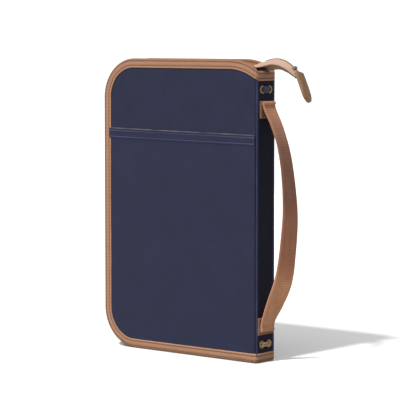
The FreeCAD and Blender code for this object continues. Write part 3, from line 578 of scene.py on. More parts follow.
def leather_material(name, colour, gloss=0.5):
    """Vegetable-tanned leather: pebbled grain, uneven dye and fine creases."""
    s = Shader(name, Roughness=gloss, Coat_Weight=0.06, Coat_Roughness=0.35)
    cells = s.node("ShaderNodeTexVoronoi", {"Vector": s.uv, "Scale": 1.5},
                   feature="DISTANCE_TO_EDGE").outputs["Distance"]
    cloud = s.noise(s.uv, 0.12, 6.0, 0.65)
    fine = s.noise(s.uv, 1.6, 4.0, 0.7)
    base = s.ramp(cloud, [(0.32, shade(colour, 0.72)), (0.5, colour),
                          (0.68, shade(colour, 1.22))])
    s.colour(s.times(0.4, base, fine, [(0.3, (0.6, 0.55, 0.5)), (0.65, WHITE)]))
    grain = s.ramp(cells, [(0.0, BLACK), (0.25, WHITE)])
    s.bump(s.maths("ADD", s.maths("MULTIPLY", grain, 0.6), fine), 0.4, 0.15)
    s.roughness(cloud, gloss - 0.1, gloss + 0.15)
    return s.material


def metal_material(name, colour, roughness):
    """Metal with tarnish in soft patches."""
    s = Shader(name, Metallic=1.0, Roughness=roughness)
    patch = s.noise(s.uv, 0.9, 5.0, 0.65)
    s.colour(s.ramp(patch, [(0.35, shade(colour, 0.6)), (0.6, colour)]))
    s.roughness(patch, roughness + 0.15, roughness - 0.08)
    s.bump(patch, 0.15, 0.05)
    return s.material


def thread_material(name, colour):
    """Twisted sewing thread."""
    s = Shader(name, Roughness=0.6, Sheen_Weight=0.2, Sheen_Roughness=0.4)
    strand = s.noise(s.uv, 6.0, 2.0)
    s.colour(s.ramp(strand, [(0.3, shade(colour, 0.75)), (0.7, shade(colour, 1.2))]))
    s.bump(strand, 0.4, 0.08)
    return s.material


def cord_material(name, colour, pitch):
    """Strands laid round a cord, or ribs across elastic."""
    s = Shader(name, Roughness=0.65, Sheen_Weight=0.2, Sheen_Roughness=0.4)
    lay = s.waves(s.turned(35), pitch, "X", 0.2)
    fine = s.noise(s.uv, 1.4, 4.0, 0.7)
    base = s.ramp(lay, [(0.1, shade(colour, 0.5)), (0.5, colour)])
    s.colour(s.times(0.3, base, fine, [(0.3, (0.5,) * 3), (0.7, WHITE)]))
    s.bump(lay, 0.7, 0.25)
    return s.material


def board_material():
    """Grey-brown fibre board."""
    s = Shader("fibre_board", Roughness=0.9)
    fibre = s.noise(s.uv, 40.0, 6.0, 0.8)
    s.colour(s.ramp(fibre, [(0.3, (0.33, 0.28, 0.22)), (0.7, (0.5, 0.44, 0.36))]))
    s.bump(fibre, 0.3, 0.1)
    return s.material


NAVY = (0.0195, 0.0228, 0.054)
CANVAS = canvas_material("front_canvas", NAVY)
HEMMED = canvas_material("hemmed_canvas", shade(NAVY, 1.04), hem=HEM_TOP)
# Painted shade: the spine is the covers' navy canvas, painted about four times darker where it
# turns away from the key light.
SHADED_SPINE_CLOTH = canvas_material("spine_canvas", (0.0048, 0.0054, 0.0235))
FOLD_CLOTH = canvas_material("fold_canvas", (0.034, 0.042, 0.1), mottling=0.5)
INSIDE_CANVAS = canvas_material("inside_canvas", (0.022, 0.028, 0.062))
BINDING = binding_material("binding_tape")
WEBBING = webbing_material("ribbed_webbing")
TAPE = tape_material("zip_tape", (0.54, 0.35, 0.25))
LINING = twill_material("lining_twill", (0.46, 0.34, 0.23))
LEATHER = leather_material("tan_leather", (0.345, 0.182, 0.084))
PATCH_LEATHER = leather_material("patch_leather", (0.27, 0.128, 0.075), 0.6)
BRASS = metal_material("antique_brass", (0.62, 0.42, 0.2), 0.38)
STEEL = metal_material("plain_steel", (0.55, 0.54, 0.53), 0.35)
NYLON = twill_material("zip_nylon", (0.22, 0.13, 0.075))
ELASTIC = cord_material("woven_elastic", (0.04, 0.05, 0.115), 0.9)
CORD = cord_material("waxed_cord", (0.62, 0.4, 0.22), 1.1)
BROWN_THREAD = thread_material("brown_thread", (0.085, 0.043, 0.026))
BLUE_THREAD = thread_material("blue_thread", (0.1, 0.115, 0.29))
TAN_THREAD = thread_material("tan_thread", (0.3, 0.165, 0.085))
# Painted shade: the blue hem thread, dimmed for the spine's stitches, which face away from the key
# light.
SHADED_BLUE_THREAD = thread_material("shaded_blue_thread", (0.03, 0.034, 0.08))
BOARD = board_material()


# --- the bound edges --------------------------------------------------------------------------
def leg_points(wide, deep):
    """The outer face of the folded tape, from its inner edge to the rounded outer edge, as
    (inset, depth below the outer face).  It dips where it is sewn."""
    points = [(wide, 0.66), (wide - 0.05, 0.3), (wide - 0.35, 0.05), (wide - 1.2, 0.0)]
    for row in (STITCH_INNER, STITCH_OUTER):
        points += [(row + 0.55, 0.06), (row, 0.26), (row - 0.55, 0.08)]
        if row == STITCH_INNER:
            points += [(row - 1.5, -0.06), ((STITCH_INNER + STITCH_OUTER) / 2 - 0.4, -0.1)]
    rounding = 1.7
    for turn in np.linspace(0.06, 1.0, 6) * math.pi / 2:
        points.append((rounding * (1 - math.sin(turn)), deep / 2 * (1 - math.cos(turn)) + 0.08))
    return points


def binding_section(deep):
    """The closed section of the tape folded over an edge deep millimetres thick."""
    outer = leg_points(BINDING_WIDE, deep)
    inner = [(inset, deep - drop) for inset, drop in outer[-2::-1]]
    near = BINDING_WIDE - 0.5
    return outer + inner + [(near, deep - 0.7), (2.2, deep - 0.75), (0.9, deep / 2), (2.2, 0.75),
                            (near, 0.7)]


def pucker(grid, run, insets, out):
    """Moves a binding's surface: a swell between stitches and a slow wander."""
    for i, at in enumerate(run):
        swell = 0.07 * math.cos(2 * math.pi * at / PUCKER_PITCH)
        for j, inset in enumerate(insets):
            near = max(math.exp(-((inset - row) / 0.9) ** 2)
                       for row in (STITCH_INNER, STITCH_OUTER))
            x, y, z = grid[i, j]
            slow = 0.13 * rough(x, y, z, 9.0) + 0.05 * rough(z, x, y, 2.4)
            grid[i, j] += out[j] * (swell * near + slow)


def outward_ways(section, deep, way):
    """Which way each point of a tape's section faces; none at its outer edge."""
    return [np.array(way) * (0 if inset <= 0.8 else 1 if drop < deep / 2 else -1)
            for inset, drop in section]


def make_cover_binding(prefix, side):
    """The tape round one cover, from the fold's bottom to its top, and its two rows of
    stitches, seen on both of its legs."""
    run = lengths(outline(0.0, 0.8)[0])
    section = np.array(binding_section(BINDING_DEEP))
    grid = np.stack([upright(outline(inset, 0.8)[0], side * (OUTER - drop))
                     for inset, drop in section], axis=1)
    pucker(grid, run, section[:, 0], outward_ways(section, BINDING_DEEP, (0.0, side, 0.0)))
    tape = sweep(f"{prefix}_edge_tape", grid, BINDING, along=run)
    dress(tape, f"{prefix}_cover", "binding_tape", f"{prefix}_binding")
    for place, level, way in (("outer", OUTER - 0.12, side),
                              ("inner", OUTER - BINDING_DEEP + 0.12, -side)):
        paths = [resample(outline(inset, 0.6)[0][2:-2], PUCKER_PITCH)
                 for inset in (STITCH_INNER, STITCH_OUTER)]
        centres = upright(np.vstack(paths), side * level)
        ways = upright(np.vstack([tangents(path) for path in paths]))
        row = stitches(f"{prefix}_edge_stitches_{place}", centres, ways, (0, way, 0),
                       BROWN_THREAD, 2.1, 0.36)
        dress(row, f"{prefix}_cover", "binding_tape")


CLOTH_FOLD = -0.6                           # X where the cover's cloth turns in at the fold


def fold_path(side, plan):
    """Plan of something that crosses a fold, (x, y) with outward normals, from the cover's face
    round to the spine's."""
    path = smooth_path(plan, 0.25)
    way = tangents(path)
    normal = np.column_stack([-way[:, 1], way[:, 0]])
    path[:, 1] *= side
    normal[:, 1] *= side
    return path, normal


def shoulder_height(x, inset):
    """Height of a cover's edge beside the spine, inset."""
    r = SHOULDER_R - inset
    return HEIGHT - SHOULDER_R + math.sqrt(r * r - (min(x, FOLD_EDGE) - SHOULDER_X) ** 2)


def bent(obj, slot):
    """The piece crosses a fold between the cover and the spine; its transform is baked into its
    mesh.
    """
    stand_for(obj, slot)
    blend_mm(obj)


def make_fold_cloth(prefix, side):
    """The canvas from a cover to the spine, with a groove and a bead."""
    y, x = CANVAS_OUT, SPINE_CANVAS
    path, normal = fold_path(side, [
        (-2.6, y - 1.5), (-1.4, y - 1.5), (-0.2, y - 1.45), (0.5, y - 1.2), (0.85, y - 0.6),
        (1.0, y - 0.15), (1.4, y + 0.02), (1.8, y - 0.2), (x + 0.42, y - 0.65),
        (x + 0.25, y - 1.1), (x + 0.06, y - 1.7), (x + 0.03, ROOT_Y - 0.6)])
    rows = []
    for z in np.arange(7.0, SPINE_TOP - 5.4, 1.5):
        wander = np.array([0.16 * rough(0, side * 9, z, 24.0), 0.12 * rough(0, 0, z, 2.6)])
        outer = [(*(p + wander * (0 < k < len(path) - 1)), z) for k, p in enumerate(path)]
        rows.append(outer + [(*(p - n * 0.5), z) for p, n in zip(path, normal)][::-1])
    bent(sweep(f"{prefix}_fold_cloth", rows, FOLD_CLOTH), "navy_canvas")


def make_fold_tape(prefix, side, place):
    """The binding from a cover to the spine, gathered where it turns, with its stitches."""
    y, x = OUTER, SPINE_OUT
    path, normal = fold_path(side, [
        (-4.2, y + 0.05), (-2.6, y + 0.04), (-1.2, y - 0.02), (0.1, y - 0.12), (1.0, y - 0.4),
        (x - 0.35, y - 1.0), (x + 0.02, y - 1.9), (x + 0.05, ROOT_Y + 0.2),
        (x + 0.03, ROOT_Y - 0.5)])
    run = lengths(path)
    past = np.clip((run - run[np.argmin(np.abs(path[:, 0] - FOLD_EDGE))]), 0, None)
    past = past / past[-1]
    section = np.array([p for p in leg_points(BINDING_WIDE, BINDING_DEEP) if p[1] < 1.5]
                       + [(1.1, 1.5), (BINDING_WIDE - 0.5, 0.75)])
    columns = []
    for inset, drop in section:
        level = np.full(len(path), inset)
        if place == "top":
            beside = np.array([shoulder_height(px, inset) for px, _ in path])
            level = beside + (SPINE_TOP - inset - beside) * past
        columns.append(np.column_stack([path - normal * drop, level]))
    grid = np.stack(columns, axis=1)
    up = 1.0 if place == "bottom" else -1.0
    for i, along in enumerate(run):
        gather = 0.13 * math.sin(along * 1.9 + side) + 0.1 * rough(along, side, up, 1.3)
        grid[i, section[:, 1] < 0.5, :2] += normal[i] * gather
    tape = sweep(f"{prefix}_fold_tape_{place}", grid, BINDING, along=run)
    bent(tape, "binding_tape")
    centres, ways, outs = [], [], []
    for row in (STITCH_INNER, STITCH_OUTER):
        column = int(np.argmin(np.abs(section[:, 0] - row) + section[:, 1]))
        for share in (0.18, 0.45, 0.72, 0.94):
            k = int(share * (len(path) - 1))
            out = np.array([*normal[k], 0.0])
            centres.append(grid[k, column] + out * 0.12)
            ways.append(grid[k, column] - grid[k - 1, column])
            outs.append(out)
    row = stitches(f"{prefix}_fold_stitches_{place}", centres, ways, outs, BROWN_THREAD, 1.8, 0.34)
    bent(row, "binding_tape")


def make_spine_bindings():
    """The tape folded over the spine's two ends."""
    deep = SPINE_BIND_HIGH.x - SPINE_BIND_LOW.x
    section = np.array(binding_section(deep))
    ys = np.arange(-ROOT_Y, ROOT_Y + 0.1, 0.8)
    for place, edge, up in (("bottom", 0.0, 1.0), ("top", SPINE_TOP, -1.0)):
        grid = np.array([[(SPINE_OUT - drop, y, edge + up * inset) for inset, drop in section]
                         for y in ys])
        pucker(grid, ys, section[:, 0], outward_ways(section, deep, (1.0, 0.0, 0.0)))
        tape = sweep(f"spine_edge_tape_{place}", grid, BINDING)
        dress(tape, "spine", "binding_tape", f"spine_{place}_binding")
        x = SPINE_OUT - 0.12
        lines = [((x, -ROOT_Y, edge + up * inset), (x, ROOT_Y, edge + up * inset))
                 for inset in (STITCH_INNER, STITCH_OUTER)]
        sew(f"spine_edge_stitches_{place}", "spine", "binding_tape", lines, (1, 0, 0),
            BROWN_THREAD, 3.0, 2.0, 0.38)


# --- covers -----------------------------------------------------------------------------------
def make_cover_cloth(prefix, side):
    """The cover's canvas, drawn over its board, and the lining behind it."""
    inset = 1.2
    levels = cover_rows(inset, HEIGHT - inset, inset)

    def canvas_face(x, z):
        edge = min(x - left_at(z, inset), z, shoulder_height(x, 0) - z if x > SHOULDER_X
                   else HEIGHT - z)
        sink = 0.35 * math.exp(-max(edge - BINDING_WIDE + 2.0, 0.0) / 2.5)
        sink += 0.75 * math.exp(-(CLOTH_FOLD - x) / 1.5)
        swell = 0.16 * rough(x, 3.0 * side, z, 46.0) + 0.05 * rough(x, 9.0, z, 11.0)
        return side * (CANVAS_OUT - 0.05 + swell - sink)

    grid = plate_grid(levels, lambda z: left_at(z, inset),
                      lambda z: right_at(z, inset, CLOTH_FOLD), canvas_face,
                      lambda x, z: side * (CANVAS_OUT - 0.85))
    cloth = sweep(f"{prefix}_cloth", grid, CANVAS, plane="xz")
    dress(cloth, f"{prefix}_cover", "navy_canvas", f"{prefix}_panel")

    def lining_face(x, z):
        return side * (LINING_IN + 0.08 * rough(x, 5.0 * side, z, 38.0))

    grid = plate_grid(levels, lambda z: left_at(z, inset), lambda z: right_at(z, inset),
                      lining_face, lambda x, z: side * (LINING_IN + 0.45))
    lining = sweep(f"{prefix}_lining_cloth", grid, LINING, plane="xz")
    dress(lining, f"{prefix}_cover", "lining", f"{prefix}_lining")
    painted_cad(f"{prefix}_board", BOARD)


HEM_ROWS = (2.6, 8.4)                       # the hem's two rows, below its top edge
RISE_FROM = 60.0                            # the pocket's cloth slopes more and more from here


def make_outer_pocket():
    """The slip pocket on the front: one sheet, hemmed at its mouth and caught in the binding."""
    inset = BINDING_WIDE - 1.5
    levels = np.concatenate([cover_rows(inset, HEM_TOP - 12.0, inset),
                             np.arange(HEM_TOP - 11.5, HEM_TOP - 0.6, 0.5),
                             [HEM_TOP - 0.35, HEM_TOP - 0.12, HEM_TOP]])

    def rise(x):
        return HEM_RISE * (FOLD_EDGE - x) / (FOLD_EDGE - OPEN_EDGE)

    def face(x, z):
        below = HEM_TOP - z
        hem = 0.5 / (1 + math.exp((below - 9.9) * 3.0))
        for row in HEM_ROWS:
            hem -= 0.2 * math.exp(-((below - row) / 0.5) ** 2)
        if below < 0.5:
            hem -= 0.3 * (1 - below / 0.5) ** 2
        hem -= 0.8 * math.exp(-(CLOTH_FOLD - x) / 1.5)
        across = (x - OPEN_EDGE) / (FOLD_EDGE - OPEN_EDGE)
        bow = 0.28 * math.sin(math.pi * across) * math.exp(-below / 30.0)
        swell = 0.15 * rough(x, 21.0, z, 52.0) + 0.05 * rough(x, 2.0, z, 9.0)
        return -(OUTER - 0.2 + hem + bow + swell)

    grid = plate_grid(levels, lambda z: left_at(z, inset), lambda z: CLOTH_FOLD - 0.2, face,
                      lambda x, z: face(x, z) + 0.5 + 0.3 / (1 + math.exp(HEM_TOP - z - 9.9)))
    upper = np.clip((grid[:, :, 2] - RISE_FROM) / (HEM_TOP - RISE_FROM), 0, 1)
    grid[:, :, 2] += rise(grid[:, :, 0]) * upper
    cloth = sweep("outer_pocket_sheet", grid, HEMMED, plane="xz")
    for corner in cloth.data.uv_layers["cloth"].data:
        x, z = corner.uv
        share = min(max((z - RISE_FROM) / (HEM_TOP + HEM_RISE - RISE_FROM), 0), 1)
        corner.uv = (x, z - rise(x) * share)
    dress(cloth, "front_cover", "navy_canvas", "front_pocket_panel")
    left, right = OPEN_EDGE + BINDING_WIDE - 0.5, CLOTH_FOLD - 0.6
    level = -OUTER - 0.16
    lines = [tuple((x, level, HEM_TOP - row + rise(x)) for x in (left, right))
             for row in HEM_ROWS]
    sew("outer_pocket_hem_stitches", "front_cover", "navy_canvas", lines, (0, -1, 0),
        BLUE_THREAD, 2.7, 2.3, 0.42)
    tacks = [((right - 0.8, level, HEM_TOP - z), (right - 0.8, level, HEM_TOP - z - 1.8))
             for z in (1.0, 2.9, 4.8, 6.7)]
    sew("outer_pocket_bar_tack", "front_cover", "navy_canvas", tacks, (0, -1, 0), BLUE_THREAD,
        1.9, 1.2, 0.3)


# --- pockets inside ---------------------------------------------------------------------------
def make_inside_pocket(node, body, side, material, round_corner):
    """A pocket's cloth with a bound mouth, sewn along its two sides and its bottom."""
    low, high = mm_box(node)
    face_level, back_level = sorted((abs(low.y), abs(high.y)))
    radius = 24.5 if round_corner else 0.8
    levels = [low.z + radius * (1 - math.cos(t)) for t in np.linspace(0, math.pi / 2, 10)]
    levels += list(np.arange(low.z + radius + 4.0, high.z - 3.0, 4.0))
    levels += [high.z - 2.6, high.z - 2.2, high.z - 0.4, high.z]

    def left(z):
        over = max(low.z + radius - z, 0.0)
        return low.x + radius - math.sqrt(max(radius * radius - over * over, 0.0))

    def face(x, z):
        edge = min(x - left(z), high.x - x, z - low.z)
        rise = 1 - math.exp(-max(edge, 0.0) / 1.6)
        swell = 0.12 * rough(x, 31.0 + side, z, 33.0)
        return side * (back_level - 0.55 - (back_level - 0.55 - face_level) * rise + swell * rise)

    grid = plate_grid(levels, left, lambda z: high.x, face,
                      lambda x, z: face(x, z) + side * 0.5, 30)
    cloth = sweep(f"{node}_cloth", grid, material, plane="xz")
    dress(cloth, body, "pocket_canvas", node)
    mouth = [(high.z - 3.4, 0.1), (high.z - 3.3, -0.32), (high.z - 0.6, -0.4),
             (high.z + 0.35, -0.1), (high.z + 0.35, 0.5), (high.z - 0.4, 0.85)]
    xs = np.arange(low.x + 0.2, high.x, 2.0)
    rows = [[(x, face(x, high.z - 1) + side * d, z) for z, d in mouth] for x in xs]
    dress(sweep(f"{node}_mouth_tape", rows, TAPE), body, "binding_tape")
    inset = 1.4
    points = [(low.x + inset, high.z - 0.5), (low.x + inset, low.z + radius)]
    if round_corner:
        bend, _ = arc((low.x + radius, low.z + radius), radius - inset, 180, 270, 2.0)
        points += [tuple(p) for p in bend]
    points += [(low.x + radius, low.z + inset), (high.x - inset, low.z + inset),
               (high.x - inset, high.z - 0.5)]
    path = resample(np.array(points), PUCKER_PITCH)
    centres = [(x, face(x, z) - side * 0.1, z) for x, z in path]
    row = stitches(f"{node}_stitches", centres, upright(tangents(path)), (0, -side, 0),
                   BLUE_THREAD)
    dress(row, body, "pocket_canvas")


def make_pen_loop():
    """Ribbed elastic loop for a pen."""
    low, high = mm_box("pen_loop")
    middle = (low + high) / 2
    r, thick = (high.x - low.x) / 2, 0.9
    levels = np.linspace(low.z, high.z, 14)
    section = [(z, 0.0) for z in levels] + [(z, -thick) for z in levels[::-1]]
    rows = []
    for a in ring(48):
        wides = [(r + inward) * (1 + 0.06 * math.cos(2 * a)) + 0.05 * math.sin(z * 3)
                 for z, inward in section]
        rows.append([(middle.x + wide * math.cos(a), middle.y + wide * math.sin(a) * 0.98, z)
                     for wide, (z, _) in zip(wides, section)])
    dress(sweep("pen_loop_elastic", rows + rows[:1], ELASTIC), "front_cover", "elastic",
          "pen_loop")
    y = -LINING_IN + 1.15
    lines = [((middle.x + dx, y, low.z + 1.0), (middle.x + dx, y, high.z - 1.0))
             for dx in (-1.6, 1.6)]
    sew("pen_loop_stitches", "front_cover", "elastic", lines, (0, 1, 0), BLUE_THREAD)


# --- the zip ----------------------------------------------------------------------------------
def make_zip(prefix, side):
    """One half of the zip: the tape, sewn into the binding, and its nylon teeth."""
    path, normals = outline(TAPE_LOW.z, 1.6, top_end=-14.0, bottom_end=TAPE_HIGH.x)
    near, far, thick = abs(TAPE_HIGH.y), abs(TAPE_LOW.y), 0.8
    section = [(0.0, far), (0.0, near + 1.0), (-0.15, near + 0.5), (0.1, near), (thick - 0.1, near),
               (thick + 0.15, near + 0.5), (thick, near + 1.0), (thick, far)]
    grid = carried(section, upright(path), upright(normals), (0.0, side, 0.0))
    dress(sweep(f"{prefix}_zip_cloth", grid, TAPE), f"{prefix}_cover", "zip_tape",
          f"{prefix}_zip_tape")
    make_teeth(prefix, side)


TOOTH_PITCH = 2.1
# One link of the coil seen along the zip's thickness: (share of half a pitch, distance out).
LINK = [(-1.0, 2.3), (-0.62, 0.4), (-0.25, -0.35), (0.25, -0.35), (0.62, 0.4), (1.0, 2.3),
        (0.6, 2.4), (0.0, 1.5), (-0.6, 2.4)]
LINK_MID = 1.05


def make_teeth(prefix, side):
    """Coil teeth: one rounded link for each turn, set half a pitch off the other side's."""
    path, normals = outline(TAPE_LOW.z + 0.4, 0.8, top_end=COIL_END, bottom_end=-20.0)
    both = resample(np.column_stack([path, normals]), TOOTH_PITCH)
    way = tangents(both[:, :2])
    shift = 0.5 if side > 0 else 0.0
    links = []
    for at, along in zip(both[:-1], way):
        centre, normal = at[:2] + along * TOOTH_PITCH * shift, at[2:]
        link = []
        for thick, squeeze in ((-1.15, 0.7), (-0.8, 1.0), (0.8, 1.0), (1.15, 0.7)):
            points = [centre + along * a * 0.5 * squeeze + normal * thick for a, _ in LINK]
            ys = [side * (LINK_MID + (out - LINK_MID) * (0.85 + 0.15 * squeeze))
                  for _, out in LINK]
            link.append([(x, y, z) for (x, z), y in zip(points, ys)])
        links.append(link)
    teeth = copies(f"{prefix}_zip_teeth", links, lambda i, j: (j, i), NYLON, 60.0, caps=(0, 3))
    dress(teeth, f"{prefix}_cover", "zip_coil", f"{prefix}_zip_coil")


def rounded_cad(node, material, width):
    """A CAD node shown as it is, with its edges softened."""
    bevel = painted_cad(node, material).modifiers.new("soft_edges", "BEVEL")
    bevel.width = width * MM
    bevel.segments = 3
    bevel.limit_method = "ANGLE"


def make_pull():
    """The slider's leather pull: a folded strip with a rounded end, sewn round its edge."""
    low, high = mm_box("zip_pull")
    half = (high.y - low.y) / 2
    z = (low.z + high.z) / 2
    pin_x = high.x - 1.1
    rows = []
    for x in np.linspace(low.x, high.x, 46):
        wide = half * math.sqrt(max(1 - max(1 - (x - low.x) / half, 0.0) ** 2, 0.02))
        if x > pin_x - 8.0:
            wide = min(wide, 1.15 + (half - 1.15) / (1 + math.exp((x - pin_x + 5.5) * 2.2)))
        thick = 0.62 + 0.25 * math.exp(-((x - pin_x) / 1.0) ** 2)
        rows.append([(x, wide * math.copysign(abs(c) ** 0.45, c),
                      z + thick * math.copysign(abs(s) ** 0.55, s))
                     for c, s in ((math.cos(a), math.sin(a)) for a in ring(20))])
    dress(sweep("leather_pull", rows, LEATHER), "pull", "tan_leather", "zip_pull")
    lines = [((low.x + 3.0, y, z - 0.58), (pin_x - 7.0, y, z - 0.58)) for y in (-2.3, 2.3)]
    sew("leather_pull_stitches", "pull", "tan_leather", lines, (0, 0, -1), TAN_THREAD, 2.0,
        1.5, 0.24)


# --- the spine --------------------------------------------------------------------------------
def make_spine_cloth():
    """Canvas outside and lining inside, between the two fold strips."""
    levels = np.arange(1.0, SPINE_TOP - 0.9, 3.0)
    ys = np.linspace(-ROOT_Y - 0.3, ROOT_Y + 0.3, 15)
    for name, outer, inner, material, slot, node in (
            ("spine_cloth", SPINE_CANVAS, SPINE_CANVAS - 0.85, SHADED_SPINE_CLOTH, "navy_canvas",
             "spine_panel"),
            ("spine_lining_cloth", SPINE_BACK, SPINE_BACK + 0.45, LINING,
             "lining", "spine_lining")):
        rows = [[(outer + 0.12 * rough(4.0, y, z, 19.0) * (outer > 0), y, z) for y in ys]
                + [(inner, y, z) for y in ys[::-1]] for z in levels]
        dress(sweep(name, rows, material, plane="yz"), "spine", slot, node)
    ends = (BINDING_WIDE + 1.0, SPINE_TOP - BINDING_WIDE - 1.0)
    lines = [tuple((SPINE_CANVAS + 0.1, side * (ROOT_Y - 0.9), z) for z in ends)
             for side in (-1, 1)]
    sew("spine_side_stitches", "spine", "navy_canvas", lines, (1, 0, 0), SHADED_BLUE_THREAD, 3.2, 2.0,
        0.26)
    painted_cad("spine_board", BOARD)


EYELET_Y = 5.2
EYELET_LOW = 17.0
EYELET_HIGH = SPINE_TOP - 17.0
EYELETS = [(y, z) for z in (EYELET_LOW, EYELET_HIGH) for y in (-EYELET_Y, EYELET_Y)]
EYELET_BORE = 2.3


def make_eyelets():
    """Four brass eyelets, each a rolled ring outside and inside round a dark bore."""
    reach = mm_box("spine_eyelets")[1].x
    profile = [(2.25, -0.4), (2.3, -0.1), (2.55, 0.22), (3.0, 0.36), (3.45, 0.24), (3.75, -0.05),
               (3.72, -0.5), (2.9, -0.62)]
    rolls = [[[(way * (reach + out), y + r * math.cos(a), z + r * math.sin(a))
               for r, out in profile] for a in ring(28)]
             for y, z in EYELETS for way in (1, -1)]
    rings = copies("eyelet_rings", rolls, lambda i, j: (0.6 * i, j), BRASS, 80.0, loop=True)
    dress(rings, "spine", "brass", "spine_eyelets")
    dark = Shader("eyelet_bore_shade", Roughness=0.9)
    dark.colour(dark.ramp(dark.noise(dark.uv, 1.0), [(0.3, (0.004, 0.004, 0.006)),
                                                     (0.7, (0.009, 0.009, 0.012))]))
    levels = ((SPINE_CANVAS + 0.28, 0.02), (SPINE_CANVAS + 0.24, EYELET_BORE),
              (SPINE_BACK - 0.24, EYELET_BORE), (SPINE_BACK - 0.28, 0.02))
    plugs = [[[(x, y + r * math.cos(a), z + r * math.sin(a)) for a in ring(16)]
              for x, r in levels] for y, z in EYELETS]
    bores = copies("eyelet_bores", plugs, lambda i, j: (j, i), dark.material, 50.0)
    dress(bores, "spine", "brass")


CORD_R = 0.92
CORD_REACH = 3.2


def make_tie_cord():
    """Two strands of waxed cord between the lower eyelets, outside and inside."""
    nodes = (("tie_cord",), ())
    for number, rise in enumerate((-1.0, 1.05)):
        loop = []
        for way in (1, -1):
            for share in (-1.0, -0.6, 0.0, 0.6, 1.0):
                y = EYELET_Y * share + (0.3 * share if abs(share) == 1 else 0)
                bow = 0.35 * math.cos(y / EYELET_Y * math.pi / 2)
                loop.append((way * (CORD_REACH + bow), way * y,
                             EYELET_LOW + rise - 0.2 * bow * (1 - number)))
        path = smooth_path(loop + loop[:1], 0.4)
        way = tangents(path)
        side = np.cross(way, (0.0, 0.0, 1.0))
        side /= np.linalg.norm(side, axis=1)[:, None]
        section = [(CORD_R * math.cos(a), CORD_R * math.sin(a)) for a in ring(12)]
        grid = carried(section, path, side, np.cross(side, way))
        dress(sweep(f"tie_cord_strand_{number + 1}", grid, CORD), "spine", "cord",
              *nodes[number])


def make_elastic():
    """Flat elastic: a bridge between the upper eyelets and two runs down the inside."""
    half = 3.2
    rows = []
    for y in np.linspace(-EYELET_Y - 0.9, EYELET_Y + 0.9, 26):
        near = max(abs(y) - EYELET_Y + 1.1, 0.0)
        x = 2.75 - 0.55 * near ** 1.5
        tall = half - 0.55 * near
        bow = 0.25 * math.cos(y / EYELET_Y * math.pi / 2)
        face = [(x + bow * (1 - (t / half) ** 2), y, EYELET_HIGH + tall * t / half)
                for t in np.linspace(-half, half, 9)]
        rows.append(face + [(px - 0.8, py, pz) for px, py, pz in face[::-1]])
    dress(sweep("elastic_bridge", rows, ELASTIC), "spine", "elastic", "booklet_elastic")
    for name, y in (("front", -EYELET_Y), ("back", EYELET_Y)):
        rows = []
        for z in np.linspace(19.3, EYELET_HIGH + 1.6, 60):
            wide = 1.9 + 0.08 * rough(z, y, 0.0, 12.0)
            x = -2.75 - 0.2 * math.sin(z / 60.0)
            rows.append([(x + dx, y + dy, z) for dx, dy in (
                (0.4, -wide), (0.45, 0.0), (0.4, wide), (-0.4, wide), (-0.48, 0.0),
                (-0.4, -wide))])
        dress(sweep(f"elastic_run_{name}", rows, ELASTIC), "spine", "elastic")


PATCH_SHAPE = {"lower": (1.0, 0.0), "upper": (0.89, 1.2)}   # width share, sideways shift


def toward_ends(half, steps):
    """Places across a piece: close to each end at the steps in from it, then half way in."""
    side = [half - step for step in steps] + [half / 2]
    return [-place for place in side] + [0.0] + side[::-1]


def make_patch(place):
    """A leather patch with rounded edges, sewn to the spine round its rim."""
    low, high = mm_box(f"{place}_handle_patch")
    share, shift = PATCH_SHAPE[place]
    half_y, half_z = (high.y - low.y) / 2 * share, (high.z - low.z) / 2
    z_mid = (low.z + high.z) / 2
    soft = 0.5
    rows = []
    for z in toward_ends(half_z, (0.0, 0.12, 0.5, 1.4)):
        from_end = half_z - abs(z)
        thin = soft * math.exp(-from_end / 0.35)
        side = half_y - 0.35 * math.exp(-from_end / 0.3)
        ys = toward_ends(side, (0.0, 0.15, 0.5, 1.5))
        row = []
        for y in ys:
            edge = soft * math.exp(-(side - abs(y)) / 0.35)
            level = high.x - max(thin, edge) + 0.04 * rough(y, z, z_mid, 5.0)
            row.append((level, y + shift, z_mid + z))
        rows.append(row + [(low.x - 0.05, y + shift, z_mid + z) for y in ys[::-1]])
    patch = sweep(f"{place}_patch_leather", rows, PATCH_LEATHER, plane="yz")
    dress(patch, "spine", "tan_leather", f"{place}_handle_patch")
    y, z = half_y - 1.1, half_z - 1.1
    corners = [(high.x - 0.05, shift + py, z_mid + pz)
               for py, pz in ((-y, -z), (y, -z), (y, z), (-y, z))]
    sew(f"{place}_patch_stitches", "spine", "tan_leather",
        list(zip(corners, corners[1:] + corners[:1])), (1, 0, 0), TAN_THREAD, 2.3, 1.6, 0.26)


# --- the handle -------------------------------------------------------------------------------
# The strap's middle line, (x, z): flat on the lower patch, out in a long bow, and flat again.
STRAP_ROUTE = [(4.15, 30.4), (4.2, 34.0), (5.6, 39.5), (13.4, 56.2), (22.1, 76.3), (27.0, 102.5),
               (29.8, 136.8), (27.8, 169.0), (22.6, 197.2), (14.4, 217.4), (6.6, 231.5),
               (4.3, 237.2), (4.15, 240.0)]
# How far the strap is turned about its own length, in degrees, at heights from foot to head.
STRAP_TWIST = [(38, 0), (46, 9), (56, 17), (68, 22), (80, 19), (98, 13), (123, 10), (141, 5),
               (160, 0), (180, -4), (204, -6), (220, -2), (232, 0)]
STRAP_CUTS = (74.0, 204.0)                  # the bends at the strap's two ends stop here
STRAP_HALF = 10.0
HEAD_SHIFT = 1.5                            # the strap is sewn off centre at its head
# Half of the webbing's section, (across, thickness): flat in its ribbed middle, thick selvages.
STRAP_FACE = [(-9.2, 0.86), (-8.4, 0.82), (-7.6, 0.7), (-3.8, 0.76), (0.0, 0.8), (3.8, 0.76),
              (7.6, 0.7), (8.4, 0.82), (9.2, 0.86), (9.85, 0.5), (10.0, 0.0), (9.85, -0.5)]


